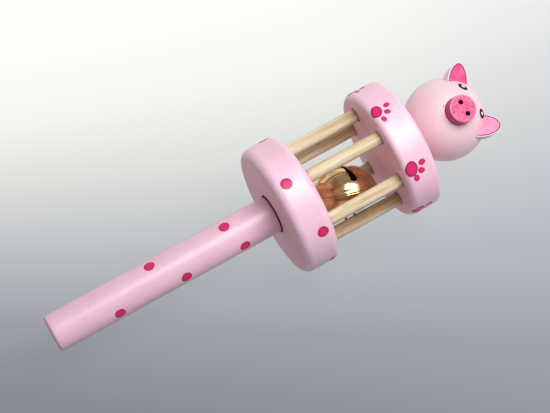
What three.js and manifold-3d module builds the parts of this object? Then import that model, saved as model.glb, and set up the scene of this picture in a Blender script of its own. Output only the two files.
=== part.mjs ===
// A wooden hand bell: a stick handle, two discs held apart by dowels as a cage for a loose
// jingle bell, and a pig's head on top. It lies on the rims of its two discs.
// Millimetres. +X runs from the handle to the head, +Z is up, and z = 0 is what it lies on.
import * as THREE from "three";
import { mergeVertices } from "three/addons/utils/BufferGeometryUtils.js";
import Module from "manifold-3d";

const wasm = await Module();
wasm.setup();
const rad = THREE.MathUtils.degToRad;

// Handle
const HANDLE_LENGTH = 90; // from its free end to the lower disc
const HANDLE_RADIUS = 7.05;
const HANDLE_END_ROUND = 1;
const HANDLE_SEAT = 9; // how deep it sits in the lower disc

// Cage
const DISC_RADIUS = 25;
const LOWER_DISC_THICKNESS = 13.9;
const UPPER_DISC_THICKNESS = 12.5;
const LOWER_DISC_EDGE_ROUND = 3.7;
const UPPER_DISC_EDGE_ROUND = 2.9;
const CAGE_GAP = 30.5; // clear length between the discs
const DOWEL_RADIUS = 2.5;
const DOWEL_SEAT = 8; // how deep a dowel sits in each disc
const DOWEL_CIRCLE = 17.2; // from the axis to a dowel's middle
const DOWEL_ANGLES = [0, 60, 112, 190, 249, 296]; // degrees from straight up towards -Y, drilled by eye

// Head
const HEAD_RADIUS = 15.4;
const HEAD_FOOT_RADIUS = 6; // of the short turned foot that sits on the upper disc
const HEAD_FOOT_HEIGHT = 2.6; // at its rim, below the ball
const NECK_RADIUS = 2.5;
const NECK_DISC_SEAT = 8;
const NECK_HEAD_SEAT = 10;
const FACE_TURN = 17.7; // degrees about the handle's axis, from straight up towards -Y
const FACE_PITCH = 6.8; // degrees, snout towards the top of the head
const FACE_ROLL = 3.8; // degrees about the snout's axis
const SNOUT_RADIUS = 5.15;
const SNOUT_STAND = 4.1; // from the ball's surface to the snout's front
const SNOUT_SEAT = 1.3; // depth of its socket at the rim
const SNOUT_EDGE_ROUND = 0.6;
const EAR_WIDTH = 8.8;
const EAR_HEIGHT = 7.1; // of its front
const EAR_BACK_HEIGHT = 5.2;
const EAR_THICKNESS = 3.4;
const EAR_TENON = 2.5; // depth of its slot
const EAR_BULGE = 0.95; // shape of its edge: share of the half width kept at the shoulder,
const EAR_SHOULDER = 0.6; // share of the height where the shoulder is,
const EAR_POINT = 0.45; // and bluntness of the tip
// Degrees: around the face from its top, out from the snout's axis, then the plate's own lean to a
// side, turn about its height, and tilt to the back
const EARS = [
  { name: "left_ear", around: 45.6, spread: 57.8, lean: 7.6, turn: 14.7, tilt: 5.6 },
  { name: "right_ear", around: -52.5, spread: 48.2, lean: 19.3, turn: -6.8, tilt: 14 },
];

// Bell
const BELL_RADIUS = 11.7; // at the seam
const BELL_POLE_RADIUS = 9; // from its middle to the loop's foot, and to the slit
const BELL_WALL = 0.5;
const BELL_LIP = 0.35; // how far the seam's lips stand out
const BELL_LIP_HEIGHT = 0.6; // of each lip
const BELL_TRAVEL_SHARE = 0.36; // where it lies in its free travel, counted from the lower disc
const BELL_DOWELS = [2, 3]; // the two dowels that it lies on, as places in DOWEL_ANGLES
const BELL_TILT = -14; // degrees, loop towards the lower disc
const BELL_SPIN = -9; // degrees about the loop's axis
const SLIT_WIDTH = 1.25;
const SLIT_END_RADIUS = 1.3;
const SLIT_SPREAD = 63; // degrees from the middle of the slit to a round end
const LOOP_HALF_WIDTH = 1.9; // between the middles of the wire
const LOOP_WIRE_RADIUS = 0.55;
const LOOP_LEG = 1.2; // straight part of a leg outside the shell
const PELLET_RADIUS = 2.4;

// Clearances
const GLUE_LINE = 0.1; // between glued flat faces
const PEG_CLEARANCE = 0.12; // round a glued peg, and round an ear in its slot
const BELL_CLEARANCE = 0.3;
const LOOP_CLEARANCE = 0.58; // between the loop's side and the dowel that it lies under // from the bell to the dowels and discs
const PELLET_CLEARANCE = 0.35; // from the pellet to the shell
const SEAM_GAP = 0.1; // between the bell's halves

// Facets
const DISC_SIDES = 40; // a multiple of 4, so that a flat lies on the surface
const HANDLE_SIDES = 32;
const PEG_SIDES = 16;
const BALL_SIDES = 32;
const SHELL_SIDES = 24;
const WIRE_SIDES = 8;
const EDGE_STEPS = 4;
const BALL_STEPS = 16;
const SHELL_STEPS = 7;
const EAR_STEPS = 6;
const LOOP_STEPS = 14;
const REST_SIDES = 720; // directions tried for where the bell lies on a dowel
const REST_ROUNDS = 30;
const MERGE_DISTANCE = 1e-4;

// Places along the axis, from the handle's free end
const lowerOuter = HANDLE_LENGTH;
const lowerInner = lowerOuter + LOWER_DISC_THICKNESS;
const upperInner = lowerInner + CAGE_GAP;
const upperOuter = upperInner + UPPER_DISC_THICKNESS;
const headFoot = Math.sqrt(HEAD_RADIUS ** 2 - HEAD_FOOT_RADIUS ** 2) + HEAD_FOOT_HEIGHT;
const headCentre = upperOuter + GLUE_LINE + headFoot;

// Materials
const paint = (color) => new THREE.MeshStandardMaterial({ color, roughness: 0.35, metalness: 0 });
const palePink = paint("#efc6da");
const headPink = paint("#f2cbd4");
const deepPink = paint("#ea5f97");
const bareWood = new THREE.MeshStandardMaterial({ color: "#dcc49a", roughness: 0.7, metalness: 0 });
const brass = new THREE.MeshStandardMaterial({ color: "#c8913f", roughness: 0.15, metalness: 1 });
const steel = new THREE.MeshStandardMaterial({ color: "#b7babd", roughness: 0.3, metalness: 1 });

// A round stretch of a profile, between two angles in degrees from the radial direction.
function arc(centreR, centreZ, radius, from, to, steps) {
  return Array.from({ length: steps + 1 }, (_, i) => {
    const angle = rad(from + ((to - from) * i) / steps);
    return [centreR + radius * Math.cos(angle), centreZ + radius * Math.sin(angle)];
  });
}

// The same stretch of a flattened outline about the middle, with its own radius and pole.
function ovalArc(radius, pole, from, to, steps) {
  return arc(0, 0, 1, from, to, steps).map(([r, z]) => [r * radius, z * pole]);
}

// A turned shape about +Z. Its flats, not its corners, lie at the stated radius, and face X and Y.
function revolve(profile, sides) {
  const step = Math.PI / sides;
  const corner = 1 / Math.cos(step);
  const points = profile.map(([r, z]) => new THREE.Vector2(Math.max(r, 0) * corner, z));
  return new THREE.LatheGeometry(points, sides, step).rotateX(Math.PI / 2);
}

// The same shape turned to stand along +X, from x = start.
function alongX(geometry, start) {
  return geometry.rotateY(Math.PI / 2).translate(start, 0, 0);
}

// A plain round peg or bore about +Z.
function peg(radius, length, sides = PEG_SIDES) {
  const profile = [
    [0, 0],
    [radius, 0],
    [radius, length],
    [0, length],
  ];
  return revolve(profile, sides);
}

// A closed geometry as a solid that can be cut.
function solid(geometry) {
  const bare = new THREE.BufferGeometry();
  bare.setAttribute("position", geometry.getAttribute("position"));
  bare.setIndex(geometry.getIndex());
  const merged = mergeVertices(bare, MERGE_DISTANCE);
  const corners = merged.getIndex().array;
  const kept = [];
  for (let i = 0; i < corners.length; i += 3) {
    const [a, b, c] = corners.slice(i, i + 3);
    if (a !== b && b !== c && c !== a) kept.push(a, b, c);
  }
  const vertProperties = merged.getAttribute("position").array;
  const triVerts = new Uint32Array(kept);
  return new wasm.Manifold(new wasm.Mesh({ numProp: 3, vertProperties, triVerts }));
}

// A geometry with others cut out of it.
function cut(geometry, cutters) {
  const left = cutters.reduce((body, cutter) => body.subtract(solid(cutter)), solid(geometry));
  const { vertProperties, triVerts } = left.getMesh();
  const result = new THREE.BufferGeometry();
  result.setAttribute("position", new THREE.BufferAttribute(vertProperties, 3));
  result.setIndex(new THREE.BufferAttribute(triVerts, 1));
  result.computeVertexNormals();
  return result;
}

function addPiece(parent, name, geometry, material) {
  const mesh = new THREE.Mesh(geometry, material);
  mesh.name = name;
  parent.add(mesh);
  return mesh;
}

// Where a dowel's middle lies across the axis, as [y, z].
function dowelPlace(degrees) {
  return [-DOWEL_CIRCLE * Math.sin(rad(degrees)), DOWEL_CIRCLE * Math.cos(rad(degrees))];
}

// The handle: a stick with an eased free end, and its plain end in the lower disc.
function handle() {
  const plug = HANDLE_LENGTH + HANDLE_SEAT - GLUE_LINE;
  const inset = HANDLE_RADIUS - HANDLE_END_ROUND;
  const profile = [
    [0, 0],
    ...arc(inset, HANDLE_END_ROUND, HANDLE_END_ROUND, -90, 0, EDGE_STEPS),
    [HANDLE_RADIUS, plug],
    [0, plug],
  ];
  return alongX(revolve(profile, HANDLE_SIDES), 0);
}

// A disc with round edges, before its holes are drilled.
function discBlank(start, thickness, edgeRound) {
  const inset = DISC_RADIUS - edgeRound;
  const profile = [
    [0, 0],
    ...arc(inset, edgeRound, edgeRound, -90, 0, EDGE_STEPS),
    ...arc(inset, thickness - edgeRound, edgeRound, 0, 90, EDGE_STEPS),
    [0, thickness],
  ];
  return alongX(revolve(profile, DISC_SIDES), start);
}

// The blind holes for the dowels, from x = start.
function dowelHoles(start) {
  return DOWEL_ANGLES.map((degrees) => {
    const hole = alongX(peg(DOWEL_RADIUS + PEG_CLEARANCE, DOWEL_SEAT), start);
    return hole.translate(0, ...dowelPlace(degrees));
  });
}

function lowerDisc() {
  const socket = alongX(peg(HANDLE_RADIUS + PEG_CLEARANCE, HANDLE_SEAT, HANDLE_SIDES), lowerOuter);
  const blank = discBlank(lowerOuter, LOWER_DISC_THICKNESS, LOWER_DISC_EDGE_ROUND);
  return cut(blank, [socket, ...dowelHoles(lowerInner - DOWEL_SEAT)]);
}

function upperDisc() {
  const bore = peg(NECK_RADIUS + PEG_CLEARANCE, NECK_DISC_SEAT);
  const neckHole = alongX(bore, upperOuter - NECK_DISC_SEAT);
  const blank = discBlank(upperInner, UPPER_DISC_THICKNESS, UPPER_DISC_EDGE_ROUND);
  return cut(blank, [neckHole, ...dowelHoles(upperInner)]);
}

function cageDowel(degrees) {
  const length = CAGE_GAP + 2 * (DOWEL_SEAT - GLUE_LINE);
  const start = lowerInner - DOWEL_SEAT + GLUE_LINE;
  return alongX(peg(DOWEL_RADIUS, length), start).translate(0, ...dowelPlace(degrees));
}

function neckDowel() {
  const start = upperOuter - NECK_DISC_SEAT + GLUE_LINE;
  const end = upperOuter + NECK_HEAD_SEAT;
  return alongX(peg(NECK_RADIUS, end - start), start);
}

// The face's own axes: +Z out of the snout, +X to the top of the face, +Y to its left.
const faceTurn = new THREE.Euler(rad(FACE_TURN), rad(FACE_PITCH), rad(FACE_ROLL));
const faceMatrix = new THREE.Matrix4().makeRotationFromEuler(faceTurn);

// The ball's surface at the snout's rim, and the floor of the snout's socket, along the snout's axis
const snoutRim = Math.sqrt(HEAD_RADIUS ** 2 - SNOUT_RADIUS ** 2);
const snoutFloor = snoutRim - SNOUT_SEAT;

function snout() {
  const length = HEAD_RADIUS + SNOUT_STAND - snoutFloor - GLUE_LINE;
  const inset = SNOUT_RADIUS - SNOUT_EDGE_ROUND;
  const profile = [
    [0, 0],
    [SNOUT_RADIUS, 0],
    ...arc(inset, length - SNOUT_EDGE_ROUND, SNOUT_EDGE_ROUND, 0, 90, EDGE_STEPS),
    [0, length],
  ];
  return revolve(profile, HANDLE_SIDES).translate(0, 0, snoutFloor + GLUE_LINE);
}

// A leaf-shaped plate, +Y to its tip and its front at z = 0, grown all round by a clearance.
function earPlate(grow) {
  const half = EAR_WIDTH / 2 + grow;
  const tip = EAR_HEIGHT + grow;
  const foot = -EAR_TENON - grow;
  const outline = new THREE.Shape();
  outline.moveTo(-half, foot);
  outline.lineTo(half, foot);
  outline.lineTo(half, 0);
  outline.bezierCurveTo(half * EAR_BULGE, tip * EAR_SHOULDER, half * EAR_POINT, tip, 0, tip);
  outline.bezierCurveTo(-half * EAR_POINT, tip, -half * EAR_BULGE, tip * EAR_SHOULDER, -half, 0);
  const depth = EAR_THICKNESS + 2 * grow;
  const options = { depth, bevelEnabled: false, curveSegments: EAR_STEPS };
  const plate = new THREE.ExtrudeGeometry(outline, options).translate(0, 0, -EAR_THICKNESS - grow);
  // The back is lower than the front, so that the plate thins out towards its tip
  const places = plate.attributes.position;
  for (let i = 0; i < places.count; i += 1) {
    const height = places.getY(i);
    if (height > 0 && places.getZ(i) < -EAR_THICKNESS / 2) {
      places.setY(i, (height * (EAR_BACK_HEIGHT + grow)) / tip);
    }
  }
  return plate;
}

// Where an ear stands in the face's axes: on the ball's surface, pointing outwards with its lean.
function earMatrix({ around, spread, lean, turn, tilt }) {
  const reach = HEAD_RADIUS * Math.sin(rad(spread));
  const stance = new THREE.Euler(rad(tilt), rad(turn), rad(around + lean - 90), "ZYX");
  const matrix = new THREE.Matrix4().makeRotationFromEuler(stance);
  return matrix.setPosition(
    reach * Math.cos(rad(around)),
    reach * Math.sin(rad(around)),
    HEAD_RADIUS * Math.cos(rad(spread)),
  );
}

// The ball on its foot, with its neck bore, the snout's socket and the ears' slots.
function headBall() {
  const footAngle = -THREE.MathUtils.radToDeg(Math.acos(HEAD_FOOT_RADIUS / HEAD_RADIUS));
  const profile = [
    [0, -headFoot],
    [HEAD_FOOT_RADIUS, -headFoot],
    ...arc(0, 0, HEAD_RADIUS, footAngle, 90, BALL_STEPS),
  ];
  const ball = alongX(revolve(profile, BALL_SIDES), 0);
  const neckBore = alongX(peg(NECK_RADIUS + PEG_CLEARANCE, NECK_HEAD_SEAT), -headFoot);
  const socketLength = HEAD_RADIUS + SNOUT_STAND - snoutFloor;
  const socket = peg(SNOUT_RADIUS + PEG_CLEARANCE, socketLength, HANDLE_SIDES);
  socket.translate(0, 0, snoutFloor).applyMatrix4(faceMatrix);
  const slots = EARS.map((ear) =>
    earPlate(PEG_CLEARANCE).applyMatrix4(earMatrix(ear)).applyMatrix4(faceMatrix),
  );
  return cut(ball, [neckBore, socket, ...slots]);
}

// Half of the bell's shell, its pole at +Z and its seam just above z = 0.
function halfShell() {
  const inner = BELL_RADIUS - BELL_WALL;
  const innerPole = BELL_POLE_RADIUS - BELL_WALL;
  const seam = SEAM_GAP / 2;
  const lipTop = seam + BELL_LIP_HEIGHT;
  const seamAngle = THREE.MathUtils.radToDeg(Math.asin(seam / innerPole));
  const lipAngle = THREE.MathUtils.radToDeg(Math.asin(lipTop / BELL_POLE_RADIUS));
  const profile = [
    ...ovalArc(inner, innerPole, 90, seamAngle, SHELL_STEPS),
    [BELL_RADIUS + BELL_LIP, seam],
    [BELL_RADIUS + BELL_LIP, lipTop],
    ...ovalArc(BELL_RADIUS, BELL_POLE_RADIUS, lipAngle, 90, SHELL_STEPS),
  ];
  return revolve(profile, SHELL_SIDES);
}

// The half with the slit, its pole at -Z: a straight cut along Y that ends in two round holes.
function bellSlitHalf() {
  const shell = halfShell().rotateX(Math.PI);
  const rise = Math.cos(rad(SLIT_SPREAD));
  const run = Math.sin(rad(SLIT_SPREAD));
  const top = -rise / Math.hypot(run / BELL_RADIUS, rise / BELL_POLE_RADIUS);
  const depth = BELL_POLE_RADIUS + top + BELL_WALL;
  const slit = new THREE.BoxGeometry(SLIT_WIDTH, 2 * BELL_RADIUS, depth);
  slit.translate(0, 0, top - depth / 2);
  const ends = [-1, 1].map((side) => {
    const hole = peg(SLIT_END_RADIUS, BELL_RADIUS).translate(0, 0, BELL_RADIUS / 2);
    return hole.rotateX(Math.PI + side * rad(SLIT_SPREAD));
  });
  return cut(shell, [slit, ...ends]);
}

// Where a leg of the loop leaves the inside and the outside of the shell
const domeHeight = (radius, pole) => pole * Math.sqrt(1 - (LOOP_HALF_WIDTH / radius) ** 2);
const legFoot = domeHeight(BELL_RADIUS - BELL_WALL, BELL_POLE_RADIUS - BELL_WALL);
const legTop = domeHeight(BELL_RADIUS, BELL_POLE_RADIUS) + LOOP_LEG;

// The closed half, its pole at +Z, with two holes for the loop's legs.
function bellLoopHalf() {
  const holes = [-1, 1].map((side) => {
    const hole = peg(LOOP_WIRE_RADIUS + PEG_CLEARANCE, BELL_RADIUS, WIRE_SIDES);
    return hole.translate(side * LOOP_HALF_WIDTH, 0, BELL_RADIUS / 2);
  });
  return cut(halfShell(), holes);
}

// A staple of wire: up one leg, round a half circle and down the other leg.
class LoopPath extends THREE.Curve {
  getPoint(t, target = new THREE.Vector3()) {
    const leg = legTop - legFoot;
    const bend = Math.PI * LOOP_HALF_WIDTH;
    const run = t * (2 * leg + bend);
    if (run < leg) return target.set(-LOOP_HALF_WIDTH, 0, legFoot + run);
    if (run > leg + bend) return target.set(LOOP_HALF_WIDTH, 0, legTop - (run - leg - bend));
    const angle = Math.PI - (run - leg) / LOOP_HALF_WIDTH;
    const x = LOOP_HALF_WIDTH * Math.cos(angle);
    return target.set(x, 0, legTop + LOOP_HALF_WIDTH * Math.sin(angle));
  }
}

function bellLoop() {
  const section = new THREE.Shape();
  section.absarc(0, 0, LOOP_WIRE_RADIUS, 0, 2 * Math.PI);
  const options = {
    steps: LOOP_STEPS,
    curveSegments: WIRE_SIDES,
    bevelEnabled: false,
    extrudePath: new LoopPath(),
  };
  return new THREE.ExtrudeGeometry(section, options);
}

// The bell's turn in the cage and the direction of its loop, whose roll is worked out with its place
const bellTurn = new THREE.Euler(0, rad(BELL_TILT), rad(BELL_SPIN));
const bellAxis = new THREE.Vector3();

// Rolls the bell about X until its loop lies just under the first of its dowels.
function rollBell(bellMiddle) {
  const [y, z] = dowelPlace(DOWEL_ANGLES[BELL_DOWELS[0]]);
  const away = new THREE.Vector2(bellMiddle.y - y, z - bellMiddle.z);
  const side = LOOP_WIRE_RADIUS + LOOP_HALF_WIDTH * Math.abs(Math.sin(bellTurn.z));
  const under = Math.asin((DOWEL_RADIUS + LOOP_CLEARANCE + side) / away.length());
  bellTurn.x = Math.atan2(away.x, away.y) + under;
  bellAxis.set(0, 0, 1).applyEuler(bellTurn);
}

// How far the bell's outside, lips and all, reaches from its middle in a direction.
function bellReach(direction) {
  const along = direction.dot(bellAxis);
  const across = Math.sqrt(Math.max(1 - along ** 2, 0));
  return Math.hypot((BELL_RADIUS + BELL_LIP) * across, BELL_POLE_RADIUS * along);
}

// The gap between the bell and a dowel, and the direction across it, for a middle of the bell.
function dowelGap(bellMiddle, degrees) {
  const away = bellMiddle.clone().sub(new THREE.Vector3(bellMiddle.x, ...dowelPlace(degrees)));
  const best = { gap: -Infinity, side: null };
  for (let i = 0; i < REST_SIDES; i += 1) {
    const angle = (2 * Math.PI * i) / REST_SIDES;
    const side = new THREE.Vector3(0, Math.cos(angle), Math.sin(angle));
    const gap = side.dot(away) - bellReach(side) - DOWEL_RADIUS;
    if (gap > best.gap) Object.assign(best, { gap, side });
  }
  return best;
}

// Where the bell lies: just clear of its two dowels, and part of the way along its free travel.
function bellPlace() {
  const place = new THREE.Vector3();
  for (let round = 0; round < REST_ROUNDS; round += 1) {
    rollBell(place);
    const [first, second] = BELL_DOWELS.map((i) => dowelGap(place, DOWEL_ANGLES[i]));
    const lack1 = BELL_CLEARANCE - first.gap;
    const lack2 = BELL_CLEARANCE - second.gap;
    const spread = first.side.y * second.side.z - first.side.z * second.side.y;
    place.y += (lack1 * second.side.z - lack2 * first.side.z) / spread;
    place.z += (lack2 * first.side.y - lack1 * second.side.y) / spread;
  }
  const reach = bellReach(new THREE.Vector3(1, 0, 0)) + BELL_CLEARANCE;
  place.x = lowerInner + reach + BELL_TRAVEL_SHARE * (CAGE_GAP - 2 * reach);
  return place;
}

const toy = new THREE.Group();
addPiece(toy, "handle", handle(), palePink);
addPiece(toy, "lower_disc", lowerDisc(), palePink);
addPiece(toy, "upper_disc", upperDisc(), palePink);
DOWEL_ANGLES.forEach((degrees, i) => {
  addPiece(toy, `cage_dowel_${i + 1}`, cageDowel(degrees), bareWood);
});
addPiece(toy, "neck_dowel", neckDowel(), bareWood);

const head = new THREE.Group();
head.position.x = headCentre;
toy.add(head);
addPiece(head, "head_ball", headBall(), headPink);
const face = new THREE.Group();
face.rotation.copy(faceTurn);
head.add(face);
addPiece(face, "snout", snout(), deepPink);
EARS.forEach((ear) => {
  addPiece(face, ear.name, earPlate(0), deepPink).applyMatrix4(earMatrix(ear));
});

const bellCentre = bellPlace();
const bell = new THREE.Group();
bell.position.copy(bellCentre);
bell.rotation.copy(bellTurn);
toy.add(bell);
addPiece(bell, "bell_slit_half", bellSlitHalf(), brass);
addPiece(bell, "bell_loop_half", bellLoopHalf(), brass);
addPiece(bell, "bell_loop", bellLoop(), brass);

// The pellet lies at the lowest point of the seam, inside the bell.
const pelletRing = BELL_RADIUS - BELL_WALL - PELLET_CLEARANCE - PELLET_RADIUS;
const pelletSide = new THREE.Vector3(0, 0, -1).projectOnPlane(bellAxis).normalize();
const pelletBall = revolve(arc(0, 0, PELLET_RADIUS, -90, 90, SHELL_STEPS), PEG_SIDES);
const pellet = addPiece(toy, "bell_pellet", pelletBall, steel);
pellet.position.copy(bellCentre).addScaledVector(pelletSide, pelletRing);

// The origin is under the middle of the whole, on the surface that the rims lie on.
toy.updateMatrixWorld(true);
const box = new THREE.Box3().setFromObject(toy, true);
const middle = box.getCenter(new THREE.Vector3());
toy.position.set(-middle.x, -middle.y, -box.min.z);

export default toy;
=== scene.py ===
"""Dresses the wooden hand bell: painted turned wood, bare dowels and a brass jingle bell.

The toy lies along X on the rims of its two discs. Sizes are millimetres until a mesh is made, and
each finished piece keeps its place in its own mesh.
"""

import logging
import math
from dataclasses import dataclass
from enum import Enum
from typing import Any, Sequence

import bmesh
import bpy
from mathutils import Matrix, Vector, noise


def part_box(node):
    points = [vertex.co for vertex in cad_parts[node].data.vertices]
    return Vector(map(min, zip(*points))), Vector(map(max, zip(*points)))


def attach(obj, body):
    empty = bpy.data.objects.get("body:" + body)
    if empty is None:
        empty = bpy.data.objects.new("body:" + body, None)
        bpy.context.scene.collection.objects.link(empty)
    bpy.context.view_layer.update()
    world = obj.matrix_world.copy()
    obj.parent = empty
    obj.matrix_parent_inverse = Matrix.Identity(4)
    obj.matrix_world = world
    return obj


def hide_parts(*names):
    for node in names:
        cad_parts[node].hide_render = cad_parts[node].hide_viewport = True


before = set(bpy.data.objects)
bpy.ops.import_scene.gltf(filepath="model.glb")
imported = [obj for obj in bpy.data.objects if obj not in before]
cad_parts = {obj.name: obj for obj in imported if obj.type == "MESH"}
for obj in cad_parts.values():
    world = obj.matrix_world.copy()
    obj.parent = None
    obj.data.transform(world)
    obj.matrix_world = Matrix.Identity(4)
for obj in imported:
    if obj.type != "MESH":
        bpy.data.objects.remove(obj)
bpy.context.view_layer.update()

MM = 0.001
X_TO_Z = Matrix.Rotation(-math.pi / 2, 4, "Y")
# Drops the Z part of a vector
ACROSS_Z = (1.0, 1.0, 0.0)
# A profile's point nearer the axis than this lies on it
ON_AXIS = 1e-6
# How far a cutter reaches past the face that it opens, in millimetres
PAST = 1.0
log = logging.getLogger("hand_bell")

Colour = tuple[float, float, float]
Point = tuple[float, float, float]
Profile = Sequence[tuple[float, float]]


class Body(Enum):
    """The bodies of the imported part."""

    FRAME = "frame"
    BELL = "bell"
    PELLET = "pellet"


class Slot(Enum):
    """The record's material slots."""

    PALE_PINK = "pale_pink_paint"
    HEAD_PINK = "head_pink_paint"
    DEEP_PINK = "deep_pink_paint"
    BARE_WOOD = "bare_wood"
    BRASS = "bell_brass"
    STEEL = "pellet_steel"


@dataclass(frozen=True)
class Wire:
    """An output socket in a node tree, with Python's operators standing for Math nodes."""

    bench: "Bench"
    socket: bpy.types.NodeSocket

    def math(self, operation: str, *others: "Wire | float", swap: bool = False) -> "Wire":
        """Adds a Math node.

        Args:
            operation: the Math node's operation.
            others: its further values.
            swap: puts this value second instead of first.

        Returns:
            The node's result.
        """
        values = [*others, self] if swap else [self, *others]
        return self.bench.node("ShaderNodeMath", {"operation": operation}, dict(enumerate(values)))

    def __add__(self, other: "Wire | float") -> "Wire":
        """This value plus another."""
        return self.math("ADD", other)

    __radd__ = __add__

    def __mul__(self, other: "Wire | float") -> "Wire":
        """This value times another."""
        return self.math("MULTIPLY", other)

    __rmul__ = __mul__

    def __sub__(self, other: "Wire | float") -> "Wire":
        """This value less another."""
        return self.math("SUBTRACT", other)

    def __rsub__(self, other: "Wire | float") -> "Wire":
        """Another value less this one."""
        return self.math("SUBTRACT", other, swap=True)

    def __truediv__(self, other: "Wire | float") -> "Wire":
        """This value over another."""
        return self.math("DIVIDE", other)

    def __pow__(self, other: "Wire | float") -> "Wire":
        """This value to a power."""
        return self.math("POWER", other)

    def __gt__(self, other: "Wire | float") -> "Wire":
        """1 where this value is the greater, else 0."""
        return self.math("GREATER_THAN", other)

    def size(self) -> "Wire":
        """This value without its sign."""
        return self.math("ABSOLUTE")

    def ease(self, low: float, high: float) -> "Wire":
        """Adds a Map Range node with a smooth step.

        Args:
            low: the value that becomes 0, as all below it do.
            high: the value that becomes 1, as all above it do.

        Returns:
            The value from 0 to 1.
        """
        settings = {"interpolation_type": "SMOOTHSTEP"}
        inputs = {"Value": self, "From Min": low, "From Max": high}
        return self.bench.node("ShaderNodeMapRange", settings, inputs)

    def vector(self, operation: str, other: "Wire | Point", output: str = "Vector") -> "Wire":
        """Adds a Vector Math node on this vector and another."""
        inputs = {0: self, 1: other}
        return self.bench.node("ShaderNodeVectorMath", {"operation": operation}, inputs, output)

    def scaled(self, by: "Wire | float") -> "Wire":
        """This vector times a number."""
        inputs = {0: self, "Scale": by}
        return self.bench.node("ShaderNodeVectorMath", {"operation": "SCALE"}, inputs, "Vector")

    def length(self) -> "Wire":
        """This vector's length."""
        return self.bench.node("ShaderNodeVectorMath", {"operation": "LENGTH"}, {0: self}, "Value")

    def part(self, axis: str) -> "Wire":
        """One component of this vector."""
        return self.bench.node("ShaderNodeSeparateXYZ", {}, {0: self}, axis)

    def sibling(self, output: str) -> "Wire":
        """Another output of the same node."""
        return Wire(self.bench, self.socket.node.outputs[output])


class Bench:
    """A node tree that grows from calls."""

    def __init__(self, tree: bpy.types.NodeTree) -> None:
        """Works on this tree."""
        self.tree = tree

    def node(
        self,
        kind: str,
        settings: dict[str, Any] | None = None,
        inputs: dict[str | int, Any] | None = None,
        output: str | int = 0,
    ) -> Wire:
        """Adds a node.

        Args:
            kind: the node's type.
            settings: its properties, and "stops" for a ramp as (position, colour) pairs.
            inputs: a value or a wire for each named or numbered socket.
            output: the socket to return.

        Returns:
            That output as a wire.
        """
        made = self.tree.nodes.new(kind)
        for name, value in (settings or {}).items():
            if name == "stops":
                self._fill_ramp(made.color_ramp, value)
            else:
                setattr(made, name, value)
        for key, value in (inputs or {}).items():
            if isinstance(value, Wire):
                self.tree.links.new(value.socket, made.inputs[key])
            else:
                made.inputs[key].default_value = value
        return Wire(self, made.outputs[output] if len(made.outputs) else None)

    @staticmethod
    def _fill_ramp(ramp: bpy.types.ColorRamp, stops: Sequence[tuple[float, Colour]]) -> None:
        """Sets a colour ramp's stops.

        Args:
            ramp: the ramp, with its two first stops.
            stops: position and colour of each stop, in order.
        """
        while len(ramp.elements) < len(stops):
            ramp.elements.new(1.0)
        for element, (position, colour) in zip(ramp.elements, stops):
            element.position = position
            element.color = (*colour, 1.0)

    def noise(self, place: Wire, scale: float, detail: float = 2.0, rough: float = 0.5) -> Wire:
        """Cloudy values from 0 to 1 over a place."""
        inputs = {"Vector": place, "Scale": scale, "Detail": detail, "Roughness": rough}
        return self.node("ShaderNodeTexNoise", {}, inputs)

    def streaks(self, place: Wire, repeats: Point, detail: float, rough: float = 0.5) -> Wire:
        """Cloudy values with their own count of repeats in a metre along each axis."""
        return self.noise(place.vector("MULTIPLY", repeats), 1.0, detail, rough)

    def spots(self, place: Wire, scale: float, fade: tuple[float, float], empty: float) -> Wire:
        """Small round spots in scattered cells.

        Args:
            place: where they lie.
            scale: how many cells there are in a metre.
            fade: from where to where a spot fades, counted from its cell's middle.
            empty: the share of cells without a spot.

        Returns:
            1 in a spot and 0 elsewhere.
        """
        cells = self.node("ShaderNodeTexVoronoi", {}, {"Vector": place, "Scale": scale})
        return (1 - cells.ease(*fade)) * (cells.sibling("Color").part("X") > empty)

    def mix(self, share: Wire | float, first: Any, second: Any, mode: str = "MIX") -> Wire:
        """Mixes two colours by a share."""
        settings = {"data_type": "RGBA", "blend_type": mode}
        return self.node("ShaderNodeMix", settings, {0: share, 6: first, 7: second}, 2)

    def ramp(self, value: Wire, stops: Sequence[tuple[float, Colour]]) -> Wire:
        """A colour for each value."""
        return self.node("ShaderNodeValToRGB", {"stops": stops}, {0: value}, "Color")

    def bump(self, height: Wire, strength: float, distance: float) -> Wire:
        """A normal raised by a height."""
        inputs = {"Height": height, "Strength": strength, "Distance": distance * MM}
        return self.node("ShaderNodeBump", {}, inputs)


def rgba(colour: Colour) -> tuple[float, float, float, float]:
    """A colour with full alpha."""
    return (*colour, 1.0)


def new_material(name: str) -> tuple[bpy.types.Material, Bench, Wire]:
    """Starts an empty material.

    Args:
        name: the material's name.

    Returns:
        The material, its bench, and Object coordinates.
    """
    made = bpy.data.materials.new(name)
    made.use_nodes = True
    made.node_tree.nodes.clear()
    bench = Bench(made.node_tree)
    return made, bench, bench.node("ShaderNodeTexCoord", output="Object")


def close_material(bench: Bench, inputs: dict[str | int, Any]) -> None:
    """Ends a material in a Principled shader with these inputs."""
    shader = bench.node("ShaderNodeBsdfPrincipled", {}, inputs)
    bench.node("ShaderNodeOutputMaterial", {}, {"Surface": shader})


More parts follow.
